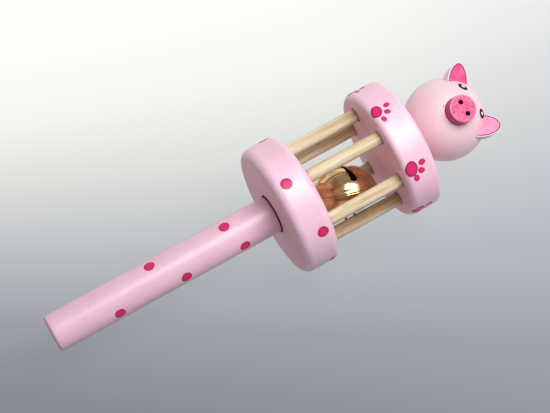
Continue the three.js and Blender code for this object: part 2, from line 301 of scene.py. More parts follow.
@dataclass(frozen=True)
class Paint:
    """Sprayed paint on wood: a mottled coat with faint grain, orange peel and a few specks."""

    name: str
    colour: Colour
    shade: Colour
    gloss: float = 0.34
    coat: float = 0.35
    peel: float = 0.12
    specks: float = 0.35
    shine: float = 0.5
    coat_blur: float = 0.2
    mottle: float = 70.0
    # How much darker a dab of it is along its own outline
    outline: float = 0.0
    # How strongly small pale flecks show: painted glints of a speckled sheen
    flecks: float = 0.0

    # Repeats in a metre: the grain along and across, the peel, the specks and the flecks
    GRAIN = (90.0, 900.0, 900.0)
    PEEL_SCALE = 1500.0
    SPECK_SCALE = 300.0
    FLECK_SCALE = 1300.0
    # Where in its cell a speck or a fleck fades, and the share of cells without one
    SPECK_FADE = (0.04, 0.11)
    SPECKLESS = 0.62
    FLECK_FADE = (0.1, 0.5)
    FLECKLESS = 0.5
    # A speck's brightness beside the shade's, and the white in a fleck, a painted glint
    SPECK_TONE = 0.35
    FLECK_WHITE = 0.45
    # The clouds' share of the mottling and the grain's share of the bumps
    CLOUD_SHARE = 0.75
    GRAIN_SHARE = 0.45
    # From where to where clouds, grain and outline come in
    CLOUD_RANGE = (0.3, 0.72)
    GRAIN_RANGE = (0.35, 0.7)
    OUTLINE_RANGE = (0.6, 0.95)
    # How much clouds and peel change the roughness, and clouds the coat
    CLOUD_ROUGH = 0.12
    PEEL_ROUGH = 0.1
    CLOUD_COAT = 0.6
    # The bumps' depth in millimetres
    BUMP_DEPTH = 0.12

    def material(self) -> bpy.types.Material:
        """Makes the paint.

        Returns:
            The finished material.
        """
        made, bench, place = new_material(self.name)
        clouds = bench.noise(place, self.mottle, detail=3.0)
        grain = bench.streaks(place, self.GRAIN, detail=4.0, rough=0.6)
        peel = bench.noise(place, self.PEEL_SCALE)
        specks = bench.spots(place, self.SPECK_SCALE, self.SPECK_FADE, self.SPECKLESS) * self.specks
        cloudy = clouds.ease(*self.CLOUD_RANGE) * self.CLOUD_SHARE
        mottle = cloudy + grain.ease(*self.GRAIN_RANGE) * (1 - self.CLOUD_SHARE)
        coat = bench.mix(mottle, rgba(self.colour), rgba(self.shade))
        dark = rgba(tuple(part * self.SPECK_TONE for part in self.shade))
        if self.outline:
            rim = bench.node("ShaderNodeAttribute", {"attribute_name": "rim"}, output="Fac")
            coat = bench.mix(rim.ease(*self.OUTLINE_RANGE) * self.outline, coat, dark)
        # Pale flecks paint the glints of a speckled sheen
        if self.flecks:
            flecks = bench.spots(place, self.FLECK_SCALE, self.FLECK_FADE, self.FLECKLESS)
            white = self.FLECK_WHITE
            pale = tuple(white + part * (1 - white) for part in self.colour)
            coat = bench.mix(flecks * self.flecks, coat, rgba(pale))
        level = self.gloss - (self.CLOUD_ROUGH + self.PEEL_ROUGH) / 2
        height = grain * self.GRAIN_SHARE + peel * (1 - self.GRAIN_SHARE)
        inputs = {
            "Base Color": bench.mix(specks, coat, dark),
            "Roughness": clouds * self.CLOUD_ROUGH + peel * self.PEEL_ROUGH + level,
            "Coat Weight": self.coat * ((1 - self.CLOUD_COAT / 2) + clouds * self.CLOUD_COAT),
            "Coat Roughness": self.coat_blur,
            "Specular IOR Level": self.shine,
            "Normal": bench.bump(height, self.peel, self.BUMP_DEPTH),
        }
        close_material(bench, inputs)
        return made


@dataclass(frozen=True)
class BareWood:
    """Bare dowel: pale straw with long fibres, dark pores, a few stained patches, and painted shade
    near the ends that go into the discs.
    """

    # Where the dowels go into the discs along X, in millimetres
    ends: tuple[float, float]
    name: str = "bare dowel wood"
    dark: Colour = (0.36, 0.22, 0.09)
    middle: Colour = (0.59, 0.475, 0.295)
    light: Colour = (0.76, 0.68, 0.5)
    # The colour of stained patches and pores, also used for the painted shade at the ends
    stain_and_shade: Colour = (0.28, 0.16, 0.07)
    # How far from the discs the painted shade at the ends reaches, in millimetres
    end_shade: float = 1.8

    # Repeats in a metre, along the dowel and across it
    BANDS = (14.0, 420.0, 420.0)
    FIBRES = (70.0, 2400.0, 2400.0)
    PORES = (130.0, 900.0, 900.0)
    PATCH_SCALE = 95.0
    # Where in its cell a pore fades, and the share of cells without one
    PORE_FADE = (0.08, 0.26)
    PORELESS = 0.66
    PATCH_RANGE = (0.6, 0.74)
    # The bands' share of the wood's tone, and where each of its three colours is
    BAND_SHARE = 0.6
    TONES = (0.34, 0.48, 0.62)
    # How strongly patches and pores are stained, and how dark the painted shade at the ends is
    PATCH_STAIN = 0.3
    END_SHADE_STRENGTH = 0.55
    PORE_STAIN = 0.7
    # How far the painted shade's edge wavers, in millimetres
    END_SHADE_WAVER = 2.0
    FIBRE_HEIGHT = 0.7
    PORE_DEPTH = 0.5
    ROUGHNESS = 0.46
    FIBRE_ROUGH = 0.25
    # The bumps' strength, and their depth in millimetres
    BUMP = (0.35, 0.12)

    def material(self) -> bpy.types.Material:
        """Makes the wood.

        Returns:
            The finished material.
        """
        made, bench, place = new_material(self.name)
        bands = bench.streaks(place, self.BANDS, detail=3.0, rough=0.55)
        fibres = bench.streaks(place, self.FIBRES, detail=4.0, rough=0.65)
        stretched = place.vector("MULTIPLY", self.PORES)
        pores = bench.spots(stretched, 1.0, self.PORE_FADE, self.PORELESS)
        patches = bench.noise(place, self.PATCH_SCALE, detail=3.0).ease(*self.PATCH_RANGE)
        tone = bands * self.BAND_SHARE + fibres * (1 - self.BAND_SHARE)
        colour = bench.ramp(tone, list(zip(self.TONES, (self.dark, self.middle, self.light))))
        stain_and_shade = rgba(self.stain_and_shade)
        colour = bench.mix(patches * self.PATCH_STAIN, colour, stain_and_shade)
        start, stop = self.ends
        # Painted shade: the wood darkens towards the ends, where the dowels go into the discs
        inside = (stop - start) / 2 - (place.part("X") / MM - (start + stop) / 2).size()
        edge = inside + bands * self.END_SHADE_WAVER - self.END_SHADE_WAVER / 2
        colour = bench.mix((1 - edge.ease(0.0, self.end_shade)) * self.END_SHADE_STRENGTH, colour, stain_and_shade)
        height = fibres * self.FIBRE_HEIGHT - pores * self.PORE_DEPTH
        inputs = {
            "Base Color": bench.mix(pores * self.PORE_STAIN, colour, stain_and_shade),
            "Roughness": fibres * self.FIBRE_ROUGH + self.ROUGHNESS,
            "Normal": bench.bump(height, *self.BUMP),
        }
        close_material(bench, inputs)
        return made


@dataclass(frozen=True)
class Metal:
    """Polished metal with smudges and fine rubbing marks."""

    name: str
    colour: Colour
    smudged: Colour
    polish: float

    # Repeats in a metre: the smudges, the rubbing along and across, and the ripples
    SMUDGE_SCALE = 230.0
    RUBBING = (4200.0, 600.0, 600.0)
    RIPPLE_SCALE = 160.0
    SMUDGE_RANGE = (0.38, 0.68)
    SMUDGE_ROUGH = 0.1
    RUBBED_ROUGH = 0.05
    RIPPLE_HEIGHT = 0.9
    RUBBED_HEIGHT = 0.02
    # The bumps' strength, and their depth in millimetres
    BUMP = (0.12, 0.3)

    def material(self) -> bpy.types.Material:
        """Makes the metal.

        Returns:
            The finished material.
        """
        made, bench, place = new_material(self.name)
        smudges = bench.noise(place, self.SMUDGE_SCALE, detail=4.0, rough=0.6).ease(*self.SMUDGE_RANGE)
        rubbed = bench.streaks(place, self.RUBBING, detail=3.0)
        ripples = bench.noise(place, self.RIPPLE_SCALE, detail=1.0)
        height = ripples * self.RIPPLE_HEIGHT + rubbed * self.RUBBED_HEIGHT
        inputs = {
            "Base Color": bench.mix(smudges, rgba(self.colour), rgba(self.smudged)),
            "Metallic": 1.0,
            "Roughness": smudges * self.SMUDGE_ROUGH + rubbed * self.RUBBED_ROUGH + self.polish,
            "Normal": bench.bump(height, *self.BUMP),
        }
        close_material(bench, inputs)
        return made


class Recipe:
    """A Geometry Nodes tree with named inputs, run on an object and baked into a plain mesh."""

    def __init__(self, name: str) -> None:
        """Starts an empty tree with a geometry going in and one coming out.

        Args:
            name: the tree's name.
        """
        self.tree = bpy.data.node_groups.new(name, "GeometryNodeTree")
        self.bench = Bench(self.tree)
        self.entry = self.tree.nodes.new("NodeGroupInput")
        self.knobs: dict[str, str] = {}
        self.given = self.knob("Geometry", "NodeSocketGeometry")
        kind = "NodeSocketGeometry"
        self.tree.interface.new_socket(name="Geometry", in_out="OUTPUT", socket_type=kind)

    def knob(self, name: str, kind: str) -> Wire:
        """Adds a named input.

        Args:
            name: the input's name.
            kind: its socket type.

        Returns:
            The input as a wire.
        """
        made = self.tree.interface.new_socket(name=name, in_out="INPUT", socket_type=kind)
        self.knobs[name] = made.identifier
        return Wire(self.bench, self.entry.outputs[name])

    def attribute(self, name: str, kind: str) -> Wire:
        """Reads a named attribute."""
        settings = {"data_type": kind}
        return self.bench.node("GeometryNodeInputNamedAttribute", settings, {"Name": name}, 0)

    def stored(self, geometry: Wire, name: str, value: Wire) -> Wire:
        """Keeps a number on each point.

        Args:
            geometry: the mesh.
            name: the attribute's name.
            value: the number.

        Returns:
            The mesh with that attribute.
        """
        settings = {"data_type": "FLOAT", "domain": "POINT"}
        inputs = {"Geometry": geometry, "Name": name, "Value": value}
        return self.bench.node("GeometryNodeStoreNamedAttribute", settings, inputs)

    def moved(self, geometry: Wire, place: Wire) -> Wire:
        """Puts each point at a place."""
        inputs = {"Geometry": geometry, "Position": place}
        return self.bench.node("GeometryNodeSetPosition", {}, inputs)

    def cylinder(
        self, sides: int, steps: int, rings: int, radius: Wire | float, depth: Wire | float
    ) -> Wire:
        """Makes a round rod along Z.

        Args:
            sides: how many steps go round.
            steps: how many go along.
            rings: how many rings fill each end.
            radius: its radius.
            depth: its length.

        Returns:
            The rod.
        """
        inputs = {
            "Vertices": sides,
            "Side Segments": steps,
            "Fill Segments": rings,
            "Radius": radius,
            "Depth": depth,
        }
        settings = {"fill_type": "TRIANGLE_FAN"}
        return self.bench.node("GeometryNodeMeshCylinder", settings, inputs, "Mesh")

    def close(self, geometry: Wire, material: Wire) -> None:
        """Ends the tree in a realized mesh with its material.

        Args:
            geometry: the finished mesh or instances.
            material: the finish for all of it.
        """
        real = self.bench.node("GeometryNodeRealizeInstances", {}, {"Geometry": geometry})
        inputs = {"Geometry": real, "Material": material}
        dressed = self.bench.node("GeometryNodeSetMaterial", {}, inputs)
        self.bench.node("NodeGroupOutput", {}, {0: dressed})

    def run(self, piece: bpy.types.Object, values: dict[str, Any]) -> bpy.types.Object:
        """Runs the tree on an object.

        Args:
            piece: the object whose mesh goes in.
            values: a value for each named input.

        Returns:
            The same object, with the result as its mesh.
        """
        modifier = piece.modifiers.new(self.tree.name, "NODES")
        modifier.node_group = self.tree
        for name, value in values.items():
            modifier[self.knobs[name]] = value
        return settle(piece)


class DowelRecipe(Recipe):
    """A dowel along X: a rod with an uneven skin and eased ends."""

    SIDES = 40
    STEPS = 72
    RINGS = 2
    # Repeats of the unevenness in a metre, across the rod and along it
    SWELLS = (320.0, 320.0, 60.0)

    def __init__(self) -> None:
        """Builds the tree."""
        super().__init__("dowel")
        bench = self.bench
        radius = self.knob("Radius", "NodeSocketFloat")
        length = self.knob("Length", "NodeSocketFloat")
        ease = self.knob("Ease", "NodeSocketFloat")
        uneven = self.knob("Unevenness", "NodeSocketFloat")
        middle = self.knob("Middle", "NodeSocketVector")
        wood = self.knob("Wood", "NodeSocketMaterial")
        rod = self.cylinder(self.SIDES, self.STEPS, self.RINGS, radius, length)
        place = bench.node("GeometryNodeInputPosition")
        across = place.vector("MULTIPLY", ACROSS_Z)
        swells = bench.streaks(place.vector("ADD", middle), self.SWELLS, detail=3.0, rough=0.6)
        swell = (swells - 0.5) * uneven
        end = (place.part("Z").size() - (length * 0.5 - ease)).math("MAXIMUM", 0.0) / ease
        slope = swell / radius - end * end * (ease / radius)
        rod = self.moved(rod, place.vector("ADD", across.scaled(slope)))
        turn = {"Geometry": rod, "Translation": middle, "Rotation": (0.0, math.pi / 2, 0.0)}
        self.close(bench.node("GeometryNodeTransform", {}, turn), wood)


class MarkRecipe(Recipe):
    """Dabs of paint that lie on a surface, one round each point that goes in."""

    SIDES = 44
    RINGS = 6
    # A dab is dropped onto its surface from this height, in millimetres
    LIFT = 3.0
    REACH = 4 * LIFT
    # Repeats of the ragged outline in a metre
    WAVES = 650.0
    # How the coat thins out towards its outline
    THINNING = 0.85
    THINNING_POWER = 8.0

    def __init__(self) -> None:
        """Builds the tree."""
        super().__init__("paint marks")
        bench = self.bench
        surface = self.knob("Surface", "NodeSocketObject")
        coat = self.knob("Coat", "NodeSocketFloat")
        ragged = self.knob("Raggedness", "NodeSocketFloat")
        paint = self.knob("Paint", "NodeSocketMaterial")
        puck = self.cylinder(self.SIDES, 1, self.RINGS, 1.0, 1.0)
        place = bench.node("GeometryNodeInputPosition")
        puck = self.stored(puck, "layer", place.part("Z") + 0.5)
        puck = self.stored(puck, "rim", place.vector("MULTIPLY", ACROSS_Z).length())
        aim = self.attribute("aim", "FLOAT_VECTOR")
        along = self.attribute("along", "FLOAT_VECTOR")
        axes = {"primary_axis": "Z", "secondary_axis": "X"}
        inputs = {
            "Points": self.given,
            "Instance": puck,
            "Rotation": bench.node("FunctionNodeAxesToRotation", axes, {0: aim, 1: along}),
            "Scale": self.attribute("half", "FLOAT_VECTOR"),
        }
        dabs = bench.node("GeometryNodeInstanceOnPoints", {}, inputs)
        dabs = bench.node("GeometryNodeRealizeInstances", {}, {"Geometry": dabs})
        away = place.vector("SUBTRACT", self.attribute("spot", "FLOAT_VECTOR"))
        wave = (bench.noise(place, self.WAVES) - 0.5) * ragged
        start = place.vector("ADD", away.scaled(wave))
        start = start.vector("ADD", aim.scaled(self.LIFT * MM))
        target = bench.node("GeometryNodeObjectInfo", {}, {"Object": surface}, "Geometry")
        inputs = {
            "Target Geometry": target,
            "Source Position": start,
            "Ray Direction": aim.scaled(-1.0),
            "Ray Length": self.REACH * MM,
        }
        hit = bench.node("GeometryNodeRaycast", {}, inputs, "Hit Position")
        layer = self.attribute("layer", "FLOAT")
        rim = self.attribute("rim", "FLOAT")
        rise = layer * (1 - rim**self.THINNING_POWER * self.THINNING) - (1 - layer)
        lifted = hit.sibling("Hit Normal").scaled(rise * coat)
        self.close(self.moved(dabs, hit.vector("ADD", lifted)), paint)


class WireRecipe(Recipe):
    """Round wire along the edges that go in."""

    SIDES = 20

    def __init__(self) -> None:
        """Builds the tree."""
        super().__init__("round wire")
        bench = self.bench
        radius = self.knob("Radius", "NodeSocketFloat")
        metal = self.knob("Metal", "NodeSocketMaterial")
        line = bench.node("GeometryNodeMeshToCurve", {}, {"Mesh": self.given})
        inputs = {"Resolution": self.SIDES, "Radius": radius}
        section = bench.node("GeometryNodeCurvePrimitiveCircle", {}, inputs)
        inputs = {"Curve": line, "Profile Curve": section, "Fill Caps": True}
        self.close(bench.node("GeometryNodeCurveToMesh", {}, inputs), metal)


def arc(
    along: float, across: float, radius: float, start: float, stop: float, steps: int
) -> list[tuple[float, float]]:
    """A round stretch of a profile.

    Args:
        along: the middle's place on the axis.
        across: the middle's distance from the axis.
        radius: the stretch's radius.
        start: first angle in degrees, counted from straight out towards +X.
        stop: last angle.
        steps: how many straight steps it has.

    Returns:
        The points as (along, across).
    """
    points = []
    for i in range(steps + 1):
        angle = math.radians(start + (stop - start) * i / steps)
        points.append((along + radius * math.sin(angle), across + radius * math.cos(angle)))
    return points


def turned(profile: Profile, sides: int) -> bmesh.types.BMesh:
    """A shape turned about the X axis.

    Args:
        profile: (along, across) points, both ends on the axis.
        sides: how many steps go round.

    Returns:
        The closed shape, in millimetres.
    """
    made = bmesh.new()
    rings = []
    for along, across in profile:
        if across < ON_AXIS:
            rings.append([made.verts.new((along, 0.0, 0.0))])
            continue
        angles = [2 * math.pi * i / sides for i in range(sides)]
        ring = [(along, across * math.cos(a), across * math.sin(a)) for a in angles]
        rings.append([made.verts.new(point) for point in ring])
    for first, second in zip(rings, rings[1:]):
        for i in range(sides):
            j = (i + 1) % sides
            corners = [first[i % len(first)], first[j % len(first)]]
            corners += [second[j % len(second)], second[i % len(second)]]
            face = list(dict.fromkeys(corners))
            if len(face) > 2:
                made.faces.new(face)
    bmesh.ops.recalc_face_normals(made, faces=made.faces)
    return made


def drill(start: float, stop: float, radius: float, sides: int) -> bmesh.types.BMesh:
    """A plain round cutter along X."""
    return turned([(start, 0.0), (start, radius), (stop, radius), (stop, 0.0)], sides)


def roughened(shape: bmesh.types.BMesh, amount: float, spacing: float, seed: float) -> None:
    """Gives a turned shape the slight waver of hand finishing.

    Args:
        shape: the shape, in millimetres.
        amount: how far a point may move.
        spacing: how far apart the swells lie.
        seed: shifts the pattern.
    """
    shape.normal_update()
    shifts = []
    for vert in shape.verts:
        spot = vert.co / spacing + Vector((seed, 0.0, 0.0))
        shifts.append(vert.normal * (noise.noise(spot) * amount))
    for vert, shift in zip(shape.verts, shifts):
        vert.co += shift


def turned_by(*turns: tuple[str, float]) -> Matrix:
    """Turns about the axes, each about the axes that the last one left.

    Args:
        turns: an axis and degrees for each turn.

    Returns:
        All of them as one.
    """
    made = Matrix()
    for axis, degrees in turns:
        made @= Matrix.Rotation(math.radians(degrees), 4, axis)
    return made


def linked(name: str, data: bpy.types.ID) -> bpy.types.Object:
    """A new object in the scene.

    Args:
        name: the object's name.
        data: its mesh, light or camera.

    Returns:
        The object.
    """
    made = bpy.data.objects.new(name, data)
    bpy.context.scene.collection.objects.link(made)
    return made


def new_object(
    name: str, shape: bmesh.types.BMesh, place: Matrix, *materials: bpy.types.Material
) -> bpy.types.Object:
    """Makes an object at the origin with its place in its mesh.

    Args:
        name: the object's name.
        shape: its shape in millimetres, which is used up.
        place: where the shape goes, in millimetres.
        materials: its materials, the first one for every face that names no other.

    Returns:
        The object, linked to the scene.
    """
    shape.transform(Matrix.Scale(MM, 4) @ place)
    mesh = bpy.data.meshes.new(name)
    shape.to_mesh(mesh)
    shape.free()
    for material in materials:
        mesh.materials.append(material)
    return linked(name, mesh)


def settle(piece: bpy.types.Object) -> bpy.types.Object:
    """Turns an object's modifiers into its plain mesh.

    Args:
        piece: the object.

    Returns:
        The same object, with no modifiers.
    """
    graph = bpy.context.evaluated_depsgraph_get()
    graph.update()
    mesh = bpy.data.meshes.new_from_object(piece.evaluated_get(graph))
    piece.modifiers.clear()
    old = piece.data
    piece.data = mesh
    bpy.data.meshes.remove(old)
    mesh.name = piece.name
    return piece


def carve(blank: bpy.types.Object, cutters: Sequence[bpy.types.Object]) -> bpy.types.Object:
    """Cuts shapes out of a blank and throws them away.

    Args:
        blank: the object to cut.
        cutters: the objects that are cut out of it.

    Returns:
        The blank, cut.
    """
    for cutter in cutters:
        cut = blank.modifiers.new("cut", "BOOLEAN")
        cut.operation = "DIFFERENCE"
        cut.solver = "EXACT"
        cut.material_mode = "TRANSFER"
        cut.object = cutter
    settle(blank)
    for cutter in cutters:
        mesh = cutter.data
        bpy.data.objects.remove(cutter)
        bpy.data.meshes.remove(mesh)
    return blank


def smooth(piece: bpy.types.Object, degrees: float = 32.0) -> bpy.types.Object:
    """Shades a piece smooth but for its sharp edges.

    Args:
        piece: the piece.
        degrees: the angle between two faces from which their edge is sharp.

    Returns:
        The piece.
    """
    for face in piece.data.polygons:
        face.use_smooth = True
    piece.data.set_sharp_from_angle(angle=math.radians(degrees))
    return piece


def seat(piece: bpy.types.Object, body: Body, slot: Slot | None, *nodes: str) -> bpy.types.Object:
    """Puts a finished piece on its body.

    Args:
        piece: the piece.
        body: the body that it moves with.
        slot: the record's slot for its finish, if it has one; not used.
        nodes: the solids that it stands for.

    Returns:
        The piece.
    """
    if nodes:
        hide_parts(*nodes)
    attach(piece, body.value)
    log.info("%s: %d faces on %s", piece.name, len(piece.data.polygons), body.value)
    return piece


@dataclass(frozen=True)
class Mark:
    """One dab of paint: where it lies, which way it faces and runs, and its half sizes."""

    spot: Vector
    aim: Vector
    along: Vector
    half: tuple[float, float]


def rim_mark(
    x: float, radius: float, rise: float, degrees: float, half: tuple[float, float], tilt: float = 0.0
) -> Mark:
    """A dab on the round side of something turned about the toy's axis.

    Args:
        x: its place along X.
        radius: the round side's radius.
        rise: the axis's height.
        degrees: from straight up towards -Y.
        half: half its length and width.
        tilt: degrees that its length is turned from X.

    Returns:
        The mark.
    """
    angle = math.radians(degrees)
    aim = Vector((0.0, -math.sin(angle), math.cos(angle)))
    side = Vector((0.0, -math.cos(angle), -math.sin(angle)))
    turn = math.radians(tilt)
    along = Vector((math.cos(turn), 0.0, 0.0)) + side * math.sin(turn)
    return Mark(Vector((x, 0.0, rise)) + aim * radius, aim, along, half)


def daub(
    name: str,
    marks: Sequence[Mark],
    surface: bpy.types.Object,
    paint: bpy.types.Material,
    recipe: MarkRecipe,
    coat: float = 0.07,
    ragged: float = 0.16,
) -> bpy.types.Object:
    """Paints marks on a surface.

    Args:
        name: the new piece's name.
        marks: the marks.
        surface: the piece that they lie on.
        paint: their paint.
        recipe: the tree that lays them.
        coat: the paint's thickness.
        ragged: how uneven the marks' outlines are.

    Returns:
        The marks as one mesh.
    """
    mesh = bpy.data.meshes.new(name)
    mesh.from_pydata([mark.spot * MM for mark in marks], [], [])
    rows = {
        "spot": [mark.spot * MM for mark in marks],
        "aim": [mark.aim for mark in marks],
        "along": [mark.along for mark in marks],
        "half": [Vector((*mark.half, coat)) * MM for mark in marks],
    }
    for key, vectors in rows.items():
        column = mesh.attributes.new(key, "FLOAT_VECTOR", "POINT")
        column.data.foreach_set("vector", [part for vector in vectors for part in vector])
    made = linked(name, mesh)
    values = {"Surface": surface, "Coat": coat * MM, "Raggedness": ragged, "Paint": paint}
    recipe.run(made, values)
    return smooth(made, degrees=60.0)


class Layout:
    """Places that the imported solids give, in millimetres."""

    def __init__(self) -> None:
        """Reads the solids' boxes."""
        handle = self.box("handle")
        self.handle_end, self.handle_plug = handle[0].x, handle[1].x
        self.axis = (handle[0].z + handle[1].z) / 2
        self.lower_outer, self.lower_inner = (corner.x for corner in self.box("lower_disc"))
        self.upper_inner, self.upper_outer = (corner.x for corner in self.box("upper_disc"))
        self.neck_low, self.neck_high = (corner.x for corner in self.box("neck_dowel"))
        self.head_foot, self.head_top = (corner.x for corner in self.box("head_ball"))
        pellet = self.box("bell_pellet")
        self.pellet = (pellet[0] + pellet[1]) / 2

    @staticmethod
    def box(node: str) -> tuple[Vector, Vector]:
        """A solid's lowest and highest corner."""
        low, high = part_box(node)
        return low / MM, high / MM

    def on_axis(self) -> Matrix:
        """The toy's axis as a place."""
        return Matrix.Translation((0.0, 0.0, self.axis))


@dataclass
class Finishes:
    """Every material on the toy."""

    pale: bpy.types.Material
    stick: bpy.types.Material
    face: bpy.types.Material
    head: bpy.types.Material
    deep: bpy.types.Material
    muzzle: bpy.types.Material
    border: bpy.types.Material
    dot: bpy.types.Material
    black: bpy.types.Material
    white: bpy.types.Material
    stroke: bpy.types.Material
    groove: bpy.types.Material
    edge_highlight: bpy.types.Material
    line: bpy.types.Material
    wood: bpy.types.Material
    brass: bpy.types.Material
    steel: bpy.types.Material

    @classmethod
    def mixed(cls, layout: Layout) -> "Finishes":
        """Makes them all.

        Args:
            layout: where the dowels go into the discs.

        Returns:
            The set.
        """
        made: dict[str, Paint | BareWood | Metal] = {
            "pale": Paint(
                "pale pink paint", (0.85, 0.56, 0.68), (0.79, 0.48, 0.6),
                gloss=0.4, coat=0.46, specks=0.75, coat_blur=0.42, mottle=140.0,
            ),
            # The handle's paint is a darker copy of the discs' pink: painted shade for the handle,
            # which gets less light
            "stick": Paint(
                "handle pink paint", (0.77, 0.49, 0.6), (0.72, 0.44, 0.55),
                gloss=0.4, coat=0.38, specks=0.6, coat_blur=0.36, mottle=140.0,
            ),
            # The flat ends' paint is a warmer copy of the pink: painted bounce light from the wood and
            # brass on faces turned from the softbox
            "face": Paint(
                "end face paint", (0.875, 0.52, 0.585), (0.835, 0.49, 0.55),
                gloss=0.6, coat=0.0, shine=0.3,
            ),
            "head": Paint(
                "head pink paint", (0.8, 0.57, 0.625), (0.76, 0.52, 0.575),
                gloss=0.5, coat=0.85, specks=0.25, shine=0.35, coat_blur=0.42,
            ),
            "deep": Paint(
                "deep pink paint", (0.78, 0.12, 0.29), (0.56, 0.045, 0.17),
                gloss=0.4, coat=0.3, peel=0.5, coat_blur=0.3, mottle=420.0,
            ),
            # The snout's front paint, with pale flecks as painted glints of its speckled sheen
            "muzzle": Paint(
                "snout pink paint", (0.75, 0.14, 0.31), (0.52, 0.045, 0.15),
                gloss=0.6, coat=0.1, peel=0.5, specks=0.6, shine=0.25, mottle=800.0, flecks=0.3,
            ),
            # Dark paint on the snout's whole side: painted shade for the side turned from the light
            "border": Paint(
                "paint border", (0.52, 0.035, 0.12), (0.45, 0.03, 0.1), gloss=0.5, coat=0.1, shine=0.3
            ),
            "dot": Paint(
                "mark pink paint", (0.68, 0.02, 0.14), (0.6, 0.016, 0.12),
                gloss=0.4, coat=0.05, peel=0.2, specks=0.1, shine=0.3, outline=0.6,
            ),
            "black": Paint(
                "black paint", (0.003, 0.002, 0.003), (0.006, 0.004, 0.005),
                gloss=0.4, coat=0.0, shine=0.08,
            ),
            "white": Paint(
                "white paint", (0.84, 0.83, 0.82), (0.78, 0.77, 0.77), gloss=0.32, coat=0.2, specks=0.0
            ),
            "stroke": Paint("stray pink stroke", (0.5, 0.2, 0.25), (0.45, 0.17, 0.2)),
            # Painted shade for the dark crevice where the handle meets the lower disc
            "groove": Paint(
                "groove shade", (0.3, 0.035, 0.06), (0.24, 0.025, 0.045), gloss=0.7, coat=0.0, shine=0.2
            ),
            # Lighter pink on the snout's rounded front edge: a painted highlight
            "edge_highlight": Paint(
                "worn edge paint", (0.85, 0.26, 0.42), (0.74, 0.16, 0.3),
                gloss=0.5, coat=0.1, shine=0.4, mottle=400.0,
            ),
            "line": Paint(
                "ear border", (0.3, 0.014, 0.055), (0.24, 0.01, 0.04), gloss=0.6, coat=0.0, shine=0.15
            ),
            "wood": BareWood((layout.lower_inner, layout.upper_inner)),
            "brass": Metal("polished brass", (0.84, 0.6, 0.3), (0.52, 0.32, 0.14), polish=0.13),
            "steel": Metal("steel ball", (0.55, 0.55, 0.56), (0.4, 0.39, 0.38), polish=0.22),
        }
        return cls(**{name: finish.material() for name, finish in made.items()})


@dataclass
class Handle:
    """The stick that the hand holds, with its dots."""

    layout: Layout
    finishes: Finishes
    radius: float = 7.05
    end_round: float = 1.0
    end_steps: int = 8
    # How far inside the rounded edge the flat end has its last ring
    end_land: float = 0.4
    # Faces this near the free end belong to its flat, which takes the end face paint with its painted
    # bounce light
    end_depth: float = 0.05
    # The skin's waver: how far it moves, how far apart its swells lie, and what shifts them
    waver: float = 0.03
    swell: float = 14.0
    seed: float = 3.0
    groove_depth: float = 0.55
    groove_half: float = 0.7
    groove_steps: int = 9
    # The share of the groove's width that is painted dark as shade
    groove_shade_share: float = 0.6
    sides: int = 96
    steps: int = 60
    dot_half: tuple[float, float] = (2.05, 1.95)
    # Along the axis from the free end, and degrees from straight up towards -Y
    dots: tuple[tuple[float, float], ...] = (
        (41.1, -23.5),
        (24.3, 65.8),
        (51.1, 66.1),
        (71.3, -18.3),
        (75.0, 69.6),
        (14.2, 158.0),
        (41.5, 154.0),
        (69.8, 158.0),
        (27.5, 244.0),
        (56.8, 247.0),
        (82.6, 243.0),
    )

    def build(self) -> bpy.types.Object:
        """Turns the stick.

        Returns:
            The stick.
        """
        start, stop = self.layout.handle_end, self.layout.handle_plug
        inset = self.radius - self.end_round
        profile = [(start, 0.0), (start, inset / 2), (start, inset - self.end_land)]
        body, mouth = start + self.end_round, self.layout.lower_outer
        profile += arc(body, inset, self.end_round, -90, 0, self.end_steps)
        near, wide = mouth - self.groove_half, self.groove_half
        profile += [(body + (near - body) * i / self.steps, self.radius) for i in range(1, self.steps)]
        turns = [math.pi / 2 * i / self.groove_steps for i in range(self.groove_steps + 1)]
        fall = [(wide * math.sin(turn), self.groove_depth * (1 - math.cos(turn))) for turn in turns]
        profile += [(near + along, self.radius - down) for along, down in fall]
        profile += [(mouth + wide - along, self.radius - down) for along, down in reversed(fall[:-1])]
        profile += [(stop, self.radius), (stop, 0.0)]
        shape = turned(profile, self.sides)
        roughened(shape, self.waver, self.swell, self.seed)
        for face in shape.faces:
            along = face.calc_center_median().x
            # Painted shade: the middle of the groove at the disc's mouth takes the dark groove paint
            if abs(along - mouth) < wide * self.groove_shade_share:
                face.material_index = 2
            # The free end's flat takes the end face paint, with its painted bounce light
            elif along - start < self.end_depth:
                face.material_index = 1
        # The stick paint is a darker copy of the discs' pink, painted shade
        paints = (self.finishes.stick, self.finishes.face, self.finishes.groove)
        return smooth(new_object("handle_stick", shape, self.layout.on_axis(), *paints))

    def dress(self, recipe: MarkRecipe) -> None:
        """Seats the stick and paints its dots.

        Args:
            recipe: the tree that lays marks.
        """
        stick = self.build()
        marks = [
            rim_mark(self.layout.handle_end + x, self.radius, self.layout.axis, turn, self.dot_half)
            for x, turn in self.dots
        ]
        dots = daub("handle_dots", marks, stick, self.finishes.dot, recipe)
        seat(stick, Body.FRAME, Slot.PALE_PINK, "handle")
        seat(dots, Body.FRAME, Slot.DEEP_PINK)


